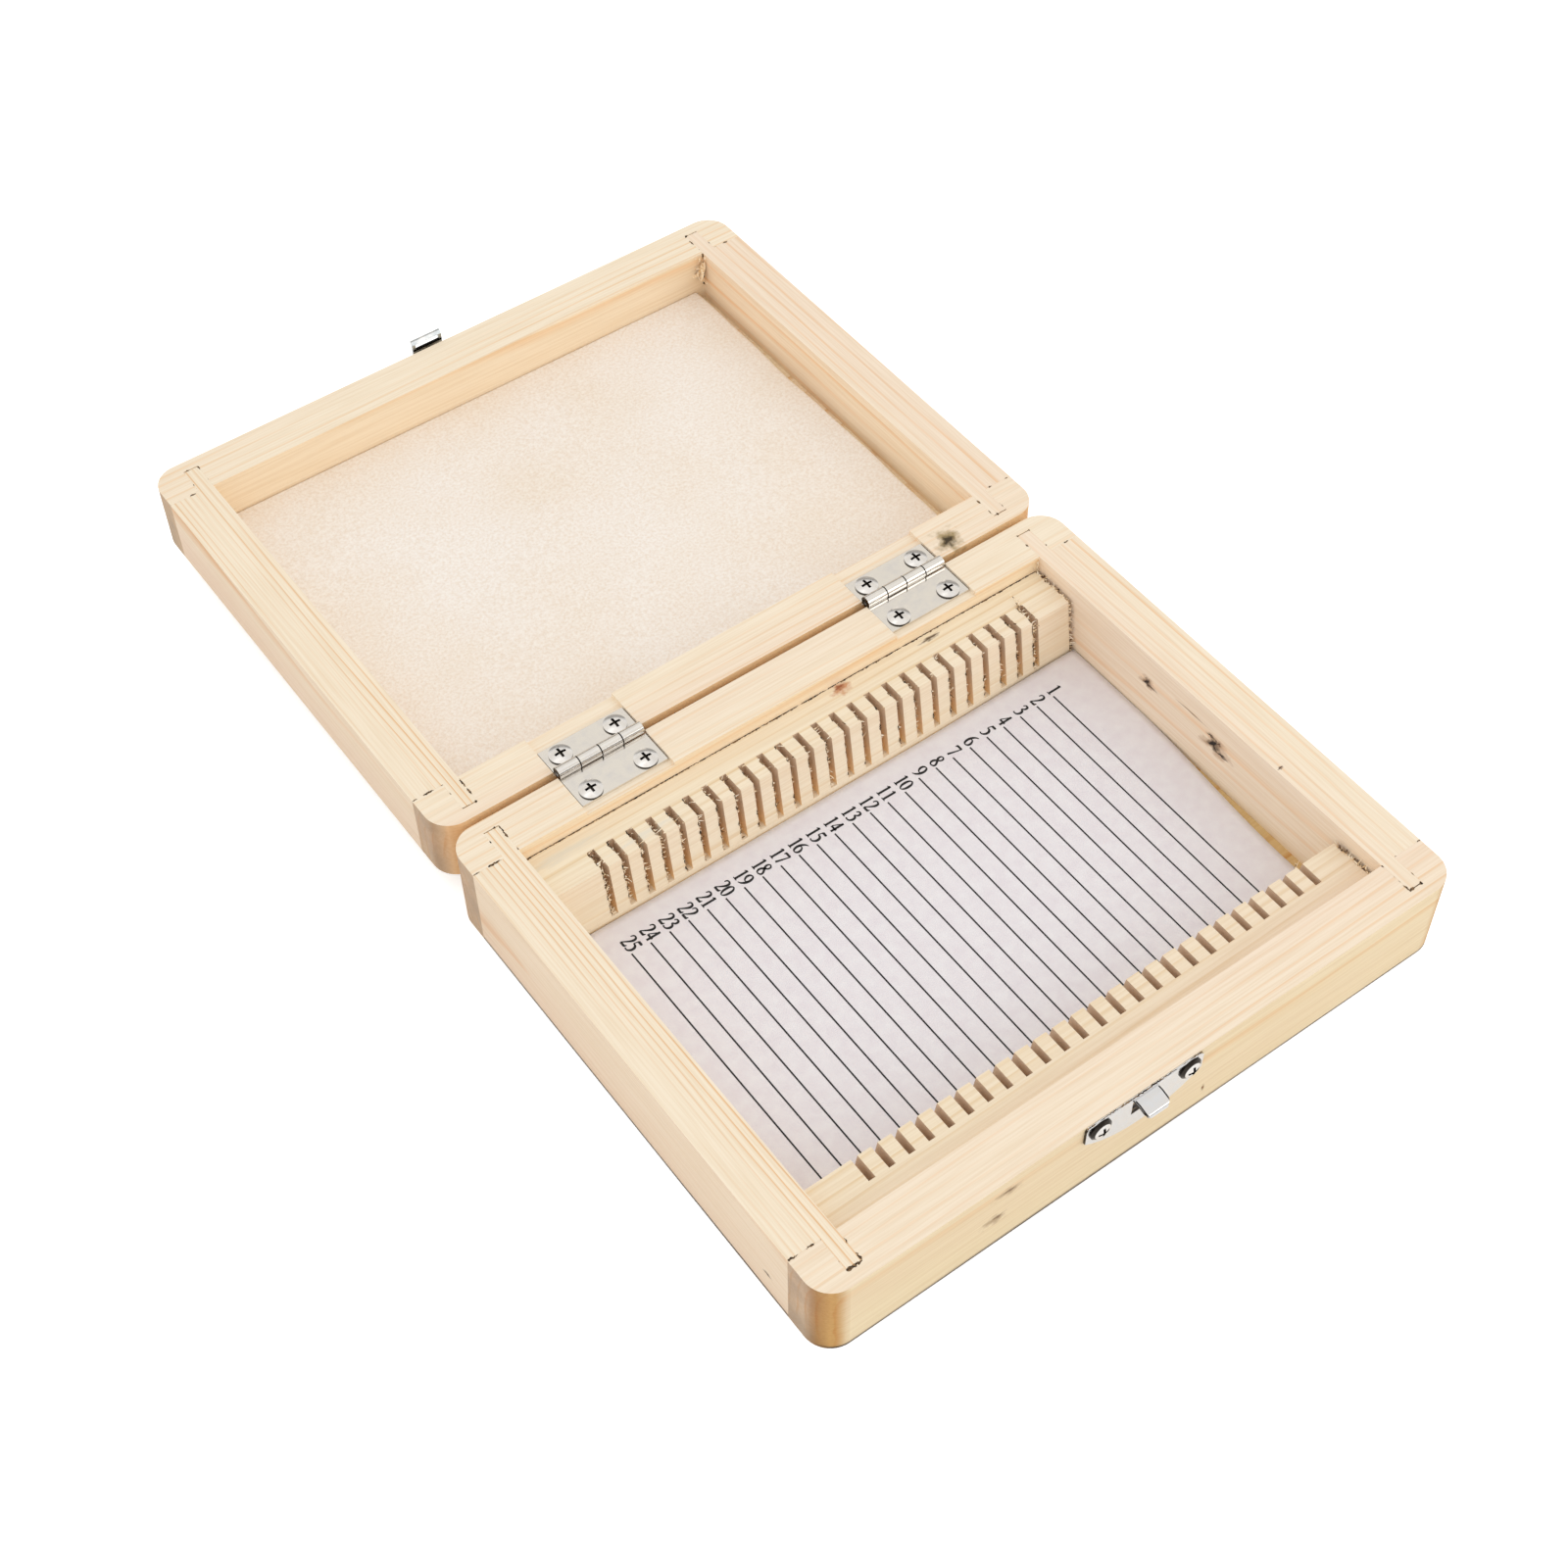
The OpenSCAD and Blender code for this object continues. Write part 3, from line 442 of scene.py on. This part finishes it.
piece("base_seams", tray_seams(rng, 0, base_corners) + base_seams, seam_dirt_and_shade, "base")
lid_corners = {(-1, -1): (0.6, 0.05, 0.6, 0.2), (1, -1): (0.2, 0.1, 0.3, 0.15),
               (-1, 1): (0.2, 0.05, 0.2, 0.15), (1, 1): (0.3, 0.1, 0.3, 0.3)}
# the crack runs down the lid's far right corner, inside
crack = seam(rng, (56.35, 151.35, 10.0), (56.35, 151.35, 17.95), 0.5, 0.7, (-1, -1, 0))
piece("lid_seams", tray_seams(rng, 107.5, lid_corners) + [crack], seam_dirt_and_shade, "lid")


# The numbered card: white card with a faint lilac-grey cast, loose on the base panel between the racks. It
# was cut askew, wider at its back, and has curled up a little at its right. Its 25 black lines and serif
# numbers are printed.
def sheet(top, bottom):
    """A closed sheet from two grids of points, its top and its bottom, with a wall between their rims."""
    rows, columns = top.shape[:2]
    count = rows * columns
    grid = np.arange(count).reshape(rows, columns)
    faces = np.stack([grid[:-1, :-1], grid[1:, :-1], grid[1:, 1:], grid[:-1, 1:]], 2).reshape(-1, 4)
    ring = np.concatenate([grid[:-1, 0], grid[-1, :-1], grid[:0:-1, -1], grid[0, :0:-1]])
    after = np.roll(ring, -1)
    wall = np.stack([ring + count, after + count, after, ring], 1)
    points = np.concatenate([top.reshape(-1, 3), bottom.reshape(-1, 3)]) * MM
    return points, np.concatenate([faces, faces[:, ::-1] + count, wall])


def ease(value, low, high):
    """0 below low, 1 above high, and 3 t squared - 2 t cubed between them."""
    t = np.clip((value - low) / (high - low), 0, 1)
    return t * t * (3 - 2 * t)


card_low, card_high = (np.array(v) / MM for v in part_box("index_card"))
card_thickness, card_askew = 0.4, 1.8


def card_lift(x, y):
    """How far the card has curled off the panel: an ease to the right times a share that eases from 0.35 at
    the front to 1 at the back, and a slight ease at the left of its back."""
    right_curl = 0.9 * ease(x, 18, 62) * (0.35 + 0.65 * ease(y, -30, 34))
    return right_curl + 0.25 * ease(-x, 30, 60) * ease(y, 0, 40)


share_x, share_y = np.meshgrid(np.linspace(0, 1, 80), np.linspace(0, 1, 50), indexing="ij")
card_y = card_low[1] + share_y * (card_high - card_low)[1]
card_width = (card_high - card_low)[0] - card_askew / 2 + card_askew * ease(card_y, -26, 14)
card_x = card_low[0] + share_x * card_width
under = card_low[2] + card_lift(card_x, card_y)
card_shape = sheet(np.stack([card_x, card_y, under + card_thickness], 2),
                   np.stack([card_x, card_y, under], 2))
card_material, tree, shader = start("uncoated white card", Roughness=0.85, IOR=1.5,
                                    Specular_IOR_Level=0.25)
place = add(tree, "ShaderNodeTexCoord").outputs["Object"]
# paper fibres clump over about 2 mm, which gives a faint cloudiness
clouds = add(tree, "ShaderNodeTexNoise", {"Vector": place, "Scale": 450.0, "Detail": 4.0}).outputs["Fac"]
paper = add(tree, "ShaderNodeValToRGB", {"Fac": clouds}, stops=(
    (0.3, "#E3DCDF"), (0.7, "#E9E5E6"))).outputs["Color"]
tree.links.new(paper, shader.inputs["Base Color"])
card = piece("card", [card_shape], card_material, "base")
card.data.shade_smooth()
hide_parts("index_card")

ink, tree, shader = start("black printing ink", Roughness=0.6, IOR=1.5)
place = add(tree, "ShaderNodeTexCoord").outputs["Object"]
# the print is a little lighter where the card's tooth shows through, about every 0.3 mm
tooth = add(tree, "ShaderNodeTexNoise", {"Vector": place, "Scale": 3000.0, "Detail": 2.0}).outputs["Fac"]
black = add(tree, "ShaderNodeValToRGB", {"Fac": tooth}, stops=(
    (0.4, "#070708"), (0.75, "#1C1B1D"))).outputs["Color"]
tree.links.new(black, shader.inputs["Base Color"])

# each numeral's pen strokes as (across, up, pen width), all as shares of its height
numeral_strokes = {
    "0": [[(.25, .97, .04), (.40, .80, .08), (.44, .50, .10), (.40, .20, .08), (.25, .03, .04),
           (.10, .20, .08), (.06, .50, .10), (.10, .80, .08), (.25, .97, .04)]],
    "1": [[(.27, 0, .09), (.27, .97, .09)], [(.11, .84, .03), (.27, .96, .06)],
          [(.12, .015, .04), (.42, .015, .04)]],
    "2": [[(.07, .74, .04), (.12, .91, .06), (.25, .97, .06), (.39, .88, .09), (.40, .68, .10),
           (.28, .42, .07), (.05, .06, .04)], [(.05, .05, .09), (.40, .05, .09), (.47, .20, .03)]],
    "3": [[(.08, .80, .04), (.19, .95, .06), (.36, .90, .09), (.36, .70, .08), (.19, .55, .04)],
          [(.19, .55, .04), (.38, .46, .09), (.41, .24, .10), (.29, .05, .07), (.11, .02, .05),
           (.04, .07, .07)]],
    "4": [[(.36, .97, .05), (.04, .33, .04)], [(.03, .30, .08), (.47, .30, .08)],
          [(.34, 0, .09), (.34, .97, .09)]],
    "5": [[(.16, .92, .10), (.42, .92, .10), (.46, .99, .03)], [(.16, .95, .04), (.09, .60, .04)],
          [(.09, .60, .04), (.25, .59, .08), (.38, .46, .10), (.39, .24, .10), (.27, .05, .07),
           (.11, .01, .05), (.04, .06, .07)]],
    "6": [[(.44, .98, .03), (.26, .87, .07), (.11, .64, .10), (.06, .36, .10), (.12, .10, .08),
           (.26, .02, .05), (.41, .13, .09), (.43, .34, .09), (.33, .54, .06), (.20, .58, .04),
           (.09, .48, .04)]],
    "7": [[(.03, .77, .02), (.07, .92, .09), (.45, .92, .09)], [(.46, .95, .04), (.20, 0, .09)]],
    "8": [[(.25, .98, .05), (.38, .88, .07), (.36, .68, .07), (.14, .46, .09), (.06, .24, .09),
           (.13, .05, .06), (.26, .02, .05), (.42, .10, .08), (.41, .30, .08), (.16, .60, .09),
           (.10, .78, .08), (.14, .93, .06), (.25, .98, .05)]],
}
numeral_strokes["9"] = [[(.5 - x, 1 - y, w) for x, y, w in numeral_strokes["6"][0]]]


def curved(points, count=24):
    """Points along a smooth curve through the given ones: a Catmull-Rom cubic on each span, or straight
    lines where there are fewer than four."""
    p = np.asarray(points, float)
    if len(p) < 4:
        at = np.linspace(0, len(p) - 1, 8 * (len(p) - 1) + 1)
        return np.stack([np.interp(at, np.arange(len(p)), column) for column in p.T], 1)
    p = np.concatenate([[2 * p[0] - p[1]], p, [2 * p[-1] - p[-2]]])
    at = np.linspace(0, len(p) - 3, count)
    span = np.minimum(at.astype(int), len(p) - 4)
    t = (at - span)[:, None]
    a, b, c, d = p[span], p[span + 1], p[span + 2], p[span + 3]
    return 0.5 * (2 * b + (c - a) * t + (2 * a - 5 * b + 4 * c - d) * t ** 2
                  + (3 * b - a - 3 * c + d) * t ** 3)


def printed(x, y, widths):
    """A printed stroke through these points, laid a hair above the curled card."""
    hair = 0.03
    height = card_low[2] + card_thickness + hair + card_lift(x, y)
    return strip(np.stack([x, y, height], 1), widths, (0, 0, 1))


# number 1 is at the right; the digits' tops point to the right too, and each number reads towards the front,
# where its line runs on from it to the card's edge
numeral_height, numeral_step, line_width, bold = 2.9, 1.46, 0.3, 1.7
first_line, line_pitch, line_gap = 46.0, 3.91, 0.35
prints = []
for number in range(1, slot_count + 1):
    digits = str(number)
    line_x = first_line - (number - 1) * line_pitch
    from_y = 28.0 if number >= 10 else 27.6
    run = np.linspace(from_y - len(digits) * numeral_step - line_gap, card_low[1] + 0.1, 40)
    prints.append(printed(run * 0 + line_x, run, line_width))
    for position, digit in enumerate(digits):
        for stroke in numeral_strokes[digit]:
            pen = curved(stroke)
            across = line_x - 0.3 + pen[:, 1] * numeral_height
            down = from_y - position * numeral_step - pen[:, 0] * numeral_height
            prints.append(printed(across, down, pen[:, 2] * numeral_height * bold))
piece("card_print", prints, ink, "base")


# The lid tray's rails: the same planed softwood, joined as the base's are. The rail by the hinges has its
# outer face, which looks across the gap at the base, tinted warm: painted shade of that gap. At the far right
# corner the inner edge has peeled in broad slivers, paler than the wall behind.
dress(["lid_front_rail"], planed_softwood(
    "planed softwood, lid front rail", "X", (216, 2), 1.8, lines=0.7, faces=[(front, "#FBF5EC"), top_shade],
    corners=0.9))
dress(["lid_back_rail"], planed_softwood(
    "planed softwood, lid back rail", "X", (-4, 2), 2.1, lines=0.6, faces=[(front, "#FBE9C9"), top_shade],
    corners=0.5, marks=[
        ((45.9, 57.4, 18), (7.0, 7.0, 6), "#A68F66"), ((45.7, 57.2, 18), (4.0, 3.6, 6), "#43351F")]))
dress(["lid_left_rail"], planed_softwood(
    "planed softwood, lid left rail", "Y", (-120, 8), 1.2, late="#EFC08C", lines=0.9,
    faces=[(left, "#F5EEE9"), top_shade]))
dress(["lid_right_rail"], planed_softwood(
    "planed softwood, lid right rail", "Y", (112, -20), 2.0, lines=0.8,
    faces=[(left, "#FFFBF4"), top_shade]))

peeled, tree, shader = start("peeled softwood", Roughness=0.75, IOR=1.5, Specular_IOR_Level=0.2)
place = add(tree, "ShaderNodeTexCoord").outputs["Object"]
# fibres under 0.05 mm wide, drawn at 0.3 mm
stripes = add(tree, "ShaderNodeMapping", {"Vector": place, "Scale": (3300, 3300, 300)}).outputs[0]
stripes = add(tree, "ShaderNodeTexNoise", {"Vector": stripes, "Scale": 1.0, "Detail": 1.0}).outputs["Fac"]
stripes = add(tree, "ShaderNodeValToRGB", {"Fac": stripes}, stops=(
    (0.35, "#DDB98A"), (0.55, "#FAE2BE"), (0.7, "#FFF2DC"))).outputs["Color"]
tree.links.new(stripes, shader.inputs["Base Color"])
corner = [torn_edge(rng, (55.2, 150.9, 12.5), (56.0, 150.4, 17.4), 16, (-0.25, -0.1, -1.0),
                    (1.8, 4.5), (0.6, 1.2)),
          torn_edge(rng, (54.4, 151.2, 17.6), (56.2, 150.2, 17.9), 10, (-0.4, -0.4, -0.3), (0.3, 1.0))]
piece("lid_peeled_slivers", corner, peeled, "lid")


# The foam pad: open-celled polyurethane foam about 3 mm thick, cut by hand and glued into the lid to hold
# the slides down. Its edges are soft and its top is slightly uneven.
foam_low, foam_high = (np.array(v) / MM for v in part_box("lid_foam_pad"))
foam_round, foam_step, foam_slack = 0.7, 1.0, 0.16


def foam_surface():
    """A closed pad over a flat bottom. Its top falls in a quarter circle near its edge and rises and dips by
    products of sines over centimetres, and its outline draws in by sines along each side."""
    size = foam_high - foam_low
    counts = (size[:2] / foam_step).astype(int)
    # the grid's lines crowd towards the edges, where the top falls
    rim = np.array([0, 0.05, 0.16, 0.35, 0.6])
    x, y = np.meshgrid(*(np.concatenate([rim, np.linspace(1, side - 1, count), side - rim[::-1]])
                         for count, side in zip(counts, size)), indexing="ij")
    # the far side lies against the rail, so its edge is three times sharper and its outline straight
    edge = np.minimum(np.minimum(x, size[0] - x), np.minimum(y, 3 * (size[1] - y)))
    drop = foam_round * (1 - np.sqrt(1 - (1 - np.clip(edge / foam_round, 0, 1)) ** 2))
    swell = 0.10 * np.sin(x / 9.0 + 0.6) * np.cos(y / 11.0) + 0.06 * np.sin(x / 4.3 - y / 5.1)
    inward = np.clip(1 - edge / 4, 0, 1)
    wave_x = 0.18 + 0.18 * (np.sin(y / 7.0) + 0.5 * np.sin(y / 2.9 + 1.0))
    wave_y = 0.10 + 0.08 * (np.sin(x / 8.0) + 0.5 * np.sin(x / 3.1 + 2.0))
    out_x = foam_low[0] + x + np.where(x < size[0] / 2, 1, -1) * inward * wave_x.clip(0)
    out_y = foam_low[1] + y + np.where(y < size[1] / 2, inward * wave_y.clip(0), 0)
    top_z = foam_high[2] - foam_slack - drop + swell * np.clip(edge / 3, 0, 1)
    return sheet(np.stack([out_x, out_y, top_z], 2),
                 np.stack([out_x, out_y, np.full_like(top_z, foam_low[2])], 2))


foam_material, tree, shader = start("open-celled polyurethane foam", Roughness=0.95, IOR=1.4,
                                    Specular_IOR_Level=0.15, Sheen_Weight=0.15)
place = add(tree, "ShaderNodeTexCoord").outputs["Object"]
# the cells are about 0.3 mm, drawn at 0.6 mm
cells = add(tree, "ShaderNodeTexNoise", {"Vector": place, "Scale": 1700.0, "Detail": 2.0,
                                         "Roughness": 0.7}).outputs["Fac"]
speckle = add(tree, "ShaderNodeValToRGB", {"Fac": cells}, stops=(
    (0.32, "#EBDDCD"), (0.5, "#F1E7DC"), (0.68, "#F6EFE6"))).outputs["Color"]
# the foam has yellowed unevenly, over a few centimetres
drift = add(tree, "ShaderNodeTexNoise", {"Vector": place, "Scale": 40.0, "Detail": 2.0}).outputs["Fac"]
warmth = add(tree, "ShaderNodeValToRGB", {"Fac": drift}, stops=(
    (0.35, "#FFFFFF"), (0.7, "#FCF8F2"))).outputs["Color"]
foam_colour = add(tree, "ShaderNodeMix", {0: 1.0, 6: speckle, 7: warmth}, data_type="RGBA",
                  blend_type="MULTIPLY").outputs[2]
tree.links.new(foam_colour, shader.inputs["Base Color"])
pores = add(tree, "ShaderNodeBump", {"Height": cells, "Strength": 0.35, "Distance": 0.2 * MM})
tree.links.new(pores.outputs[0], shader.inputs["Normal"])
foam = piece("foam_pad", [foam_surface()], foam_material, "lid")
foam.data.shade_smooth()
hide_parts("lid_foam_pad")


# The two hinges: pressed steel leaves let into the rims, rolled round a steel pin, bright nickel-plated,
# and held by four domed cross-headed screws each.
# painted shade for the metal: one dark for sides that face away and the screws' recesses, a darker one for
# the lines at its joints
metal_shade, shadow, line_half = "#3C3732", "#26221F", 0.12


def nickel_plate(name, colour, roughness, dark=(), joints=(), beyond=(up, 0)):
    """Bright nickel over pressed steel: smooth, with faint rolling marks and a few dull patches. The sides
    that face one of the dark directions are painted nearly black, as shade, and so is a thin line at each of
    the joints (mm along X) where the metal lies beyond a distance in a direction, painted shade in the gaps.
    Gives the material, its tree, its shader, its colour and its texture coordinates."""
    material, tree, shader = start(name, Metallic=1.0)
    texture = add(tree, "ShaderNodeTexCoord")
    place, facing = texture.outputs["Object"], texture.outputs["Normal"]
    # rolling marks are a few hundredths of a millimetre apart, drawn at 0.25 mm
    rolled = add(tree, "ShaderNodeMapping", {"Vector": place, "Scale": (200, 4000, 4000)}).outputs[0]
    streaks = add(tree, "ShaderNodeTexNoise", {"Vector": rolled, "Scale": 1.0,
                                               "Detail": 2.0}).outputs["Fac"]
    # the dull patches are about 2 mm across
    patches = add(tree, "ShaderNodeTexNoise", {"Vector": place, "Scale": 600.0,
                                               "Detail": 3.0}).outputs["Fac"]
    tint = add(tree, "ShaderNodeValToRGB", {"Fac": patches}, stops=(
        (0.25, "#E4E0DC"), (0.6, colour))).outputs["Color"]
    for direction in dark:
        turned = add(tree, "ShaderNodeVectorMath", {0: facing, 1: direction},
                     operation="DOT_PRODUCT").outputs["Value"]
        turned = add(tree, "ShaderNodeMapRange", {"Value": turned, "From Min": 0.5,
                                                  "From Max": 0.8}).outputs[0]
        tint = add(tree, "ShaderNodeMix", {0: turned, 6: tint, 7: linear(metal_shade)},
                   data_type="RGBA").outputs[2]
    if joints:
        spot = add(tree, "ShaderNodeSeparateXYZ", {0: place})
        proud = add(tree, "ShaderNodeVectorMath", {0: place, 1: beyond[0]},
                    operation="DOT_PRODUCT").outputs["Value"]
        proud = add(tree, "ShaderNodeMath", {0: proud, 1: beyond[1] * MM},
                    operation="GREATER_THAN").outputs[0]
    for joint in joints:
        line = add(tree, "ShaderNodeMath", {0: spot.outputs["X"], 1: joint * MM, 2: line_half * MM},
                   operation="COMPARE").outputs[0]
        line = add(tree, "ShaderNodeMath", {0: line, 1: proud}, operation="MULTIPLY").outputs[0]
        tint = add(tree, "ShaderNodeMix", {0: line, 6: tint, 7: linear(shadow)},
                   data_type="RGBA").outputs[2]
    tree.links.new(tint, shader.inputs["Base Color"])
    dull = add(tree, "ShaderNodeMapRange", {"Value": patches, "From Min": 0.3, "From Max": 0.7,
                                            "To Min": roughness * 1.25, "To Max": roughness}).outputs[0]
    tree.links.new(dull, shader.inputs["Roughness"])
    bump = add(tree, "ShaderNodeBump", {"Height": streaks, "Strength": 0.15, "Distance": 0.03 * MM})
    tree.links.new(bump.outputs[0], shader.inputs["Normal"])
    return material, tree, shader, tint, texture


# the ends of each hinge's leaves and knuckles, which face along X, and the lines at the knuckles' joints are
# painted dark, as shade
shaded_ends = [(-1, 0, 0), (1, 0, 0)]
# a hinge is 17.5 mm long, and its four knuckles stand up past its leaves, with three joints between them
knuckle, past_leaves = 17.5 / 4, 17.65
for side, middle in (("left", -33.9), ("right", 32.5)):
    dress([side + "_hinge_base_leaf", side + "_hinge_lid_leaf", side + "_hinge_pin"], nickel_plate(
        "bright nickel-plated steel, " + side + " hinge", "#ECE7DF", 0.14, shaded_ends,
        [middle - knuckle, middle, middle + knuckle], (up, past_leaves))[0])


def cross_head(name, out, seat, floor, top):
    """The same nickel on a screw whose head points out (a unit vector) and sits from seat to top (mm along
    out). Its sides and the floor of its cross recess are painted dark, as shade, with a painted highlight
    band round the head's edge."""
    material, tree, shader, bright, texture = nickel_plate(name, "#EFEBE6", 0.2)
    height = add(tree, "ShaderNodeVectorMath", {0: texture.outputs["Object"], 1: out},
                 operation="DOT_PRODUCT").outputs["Value"]
    height = add(tree, "ShaderNodeMapRange", {"Value": height, "From Min": seat * MM,
                                              "From Max": top * MM}).outputs[0]
    recess = (floor - seat) / (top - seat)
    upright = add(tree, "ShaderNodeVectorMath", {0: texture.outputs["Normal"], 1: out},
                  operation="DOT_PRODUCT").outputs["Value"]
    upright = add(tree, "ShaderNodeMapRange", {"Value": upright, "From Min": 0.7,
                                               "From Max": 0.4}).outputs[0]
    # painted shade down the head's sides and in its cross recess, with a painted highlight band between
    side = add(tree, "ShaderNodeValToRGB", {"Fac": height}, stops=(
        (0.0, "#24201D"), (0.45 * recess, "#2E2A26"), (0.62 * recess, "#A8A39C"),
        (0.8 * recess, "#8A857E"), (recess, "#2E2A26"))).outputs["Color"]
    deep = add(tree, "ShaderNodeMapRange", {"Value": height, "From Min": recess + 0.05,
                                            "From Max": recess + 0.02}).outputs[0]
    colour = add(tree, "ShaderNodeMix", {0: deep, 6: bright, 7: linear(metal_shade)},
                 data_type="RGBA").outputs[2]
    colour = add(tree, "ShaderNodeMix", {0: upright, 6: colour, 7: side}, data_type="RGBA").outputs[2]
    tree.links.new(colour, shader.inputs["Base Color"])
    return material


dress(["base_hinge_screws", "lid_hinge_screws"],
      cross_head("nickel-plated screw, hinges", up, seat=17.6, floor=17.87, top=18.32))


# The catch: a pressed steel plate with a tongue cut out of it and bent forward, held by two screws. The
# lid's hasp, a flap with a window, turns on a pin in its own plate and snaps over the tongue.
back = (0, 1, 0)
# the tongue's two sides are painted dark, as shade, from just past the plate's face
tongue_sides, past_plate = [-5.85, -1.15], 53.7
dress(["catch_plate"], nickel_plate(
    "bright nickel-plated steel, catch", "#E1E1E2", 0.18, shaded_ends, tongue_sides,
    (front, past_plate))[0])
# the hasp plate's sides that face towards the front are painted dark, as shade
dress(["hasp_plate", "hasp_pin"], nickel_plate(
    "bright nickel-plated steel, hasp plate", "#EDEAE6", 0.18, [front])[0])
dress(["catch_screws"], cross_head(
    "nickel-plated screw, catch", front, seat=53.5, floor=54.15, top=54.6))
dress(["hasp_plate_screws"], cross_head(
    "nickel-plated screw, hasp", back, seat=161, floor=161.65, top=162.1))

# the hasp's sill, under its window, is painted nearly black on its inner side and its upper edge, as shade
sill_middle, sill_half = 18.05, 0.25
hasp_nickel, tree, shader, bright, texture = nickel_plate("bright nickel-plated steel, hasp", "#AEB2B3", 0.18)
spot = add(tree, "ShaderNodeSeparateXYZ", {0: texture.outputs["Object"]})
sill = add(tree, "ShaderNodeMath", {0: spot.outputs["Z"], 1: sill_middle * MM, 2: sill_half * MM},
           operation="COMPARE").outputs[0]
inner = add(tree, "ShaderNodeVectorMath", {0: texture.outputs["Normal"], 1: (0, -0.7, 0.7)},
            operation="DOT_PRODUCT").outputs["Value"]
inner = add(tree, "ShaderNodeMapRange", {"Value": inner, "From Min": 0.4, "From Max": 0.6}).outputs[0]
sill = add(tree, "ShaderNodeMath", {0: sill, 1: inner}, operation="MULTIPLY").outputs[0]
colour = add(tree, "ShaderNodeMix", {0: sill, 6: bright, 7: linear("#1A1714")}, data_type="RGBA").outputs[2]
tree.links.new(colour, shader.inputs["Base Color"])
dress(["hasp"], hasp_nickel)


# The room: a pale floor that keeps the box's shadow, a white background, one large soft lamp over the box
# and one in front of it to the right.
floor_material, tree, shader = start("white paper sweep", Roughness=0.9)
shader.inputs["Base Color"].default_value = linear("#F6F6F6")
# only the camera, glass and, faintly, metal see the floor's own glow, which brings it to white
floor_glow, glow_in_metal = 0.48, 0.2
paths = add(tree, "ShaderNodeLightPath").outputs
seen = add(tree, "ShaderNodeMath", {0: paths["Is Camera Ray"], 1: paths["Is Transmission Ray"]},
           operation="ADD").outputs[0]
mirrored = add(tree, "ShaderNodeMath", {0: paths["Is Glossy Ray"], 1: glow_in_metal},
               operation="MULTIPLY").outputs[0]
seen = add(tree, "ShaderNodeMath", {0: seen, 1: mirrored}, operation="ADD").outputs[0]
glow = add(tree, "ShaderNodeEmission", {"Color": (1, 1, 1, 1), "Strength": floor_glow}).outputs[0]
none = add(tree, "ShaderNodeEmission", {"Color": (1, 1, 1, 1), "Strength": 0.0}).outputs[0]
lift = add(tree, "ShaderNodeMixShader", {0: seen, 1: none, 2: glow}).outputs[0]
both = add(tree, "ShaderNodeAddShader", {0: shader.outputs[0], 1: lift}).outputs[0]
tree.links.new(both, tree.nodes["Material Output"].inputs["Surface"])
floor_mesh = bpy.data.meshes.new("floor")
floor_mesh.from_pydata([(-4, -4, 0), (4, -4, 0), (4, 4, 0), (-4, 4, 0)], [], [(0, 1, 2, 3)])
floor_mesh.materials.append(floor_material)
floor = bpy.data.objects.new("floor", floor_mesh)
bpy.context.scene.collection.objects.link(floor)
floor.location.z = cad_box[0][2]

world = bpy.data.worlds.new("studio")
world.use_nodes = True
bpy.context.scene.world = world
tree = world.node_tree
paths = add(tree, "ShaderNodeLightPath").outputs
seen = add(tree, "ShaderNodeMath", {0: paths["Is Camera Ray"], 1: paths["Is Glossy Ray"]},
           operation="ADD").outputs[0]
seen = add(tree, "ShaderNodeMath", {0: seen, 1: paths["Is Transmission Ray"]}, operation="ADD").outputs[0]
# the background shows as white and lights the box a little less
sky_light = 0.95
strength = add(tree, "ShaderNodeMapRange", {"Value": seen, "To Min": sky_light, "To Max": 1.0}).outputs[0]
tree.links.new(strength, tree.nodes["Background"].inputs["Strength"])
# metal mirrors a studio: a dark surround low down, a bright ceiling, and a dimmer patch right overhead
way = add(tree, "ShaderNodeTexCoord").outputs["Generated"]
height = add(tree, "ShaderNodeSeparateXYZ", {0: way}).outputs["Z"]
studio = add(tree, "ShaderNodeValToRGB", {"Fac": height}, stops=(
    (0.0, "#C5C1BC"), (0.28, "#B5B1AC"), (0.38, "#1E1B18"), (0.46, "#FFFFFF"), (0.72, "#EFEBE4"),
    (0.965, "#FFFFFF"), (0.995, "#CFCBC6"))).outputs["Color"]
studio = add(tree, "ShaderNodeMix", {0: paths["Is Glossy Ray"], 6: (1, 1, 1, 1), 7: studio},
             data_type="RGBA").outputs[2]
tree.links.new(studio, tree.nodes["Background"].inputs["Color"])


def soft_lamp(name, place, towards, size, watts):
    """A round area lamp at a place, turned to face a point."""
    data = bpy.data.lights.new(name, "AREA")
    data.shape = "DISK"
    data.size = size
    data.energy = watts
    lamp = bpy.data.objects.new(name, data)
    bpy.context.scene.collection.objects.link(lamp)
    lamp.location = place
    lamp.rotation_euler = (Vector(towards) - Vector(place)).to_track_quat("-Z", "Y").to_euler()


soft_lamp("overhead lamp", (-0.15, 0.05, 0.9), (0, 0.05, 0), 0.7, 0.45)
soft_lamp("right front lamp", (0.5, -0.6, 0.4), (0, 0.05, 0), 0.5, 1.0)

bpy.context.scene.view_settings.view_transform = "Standard"
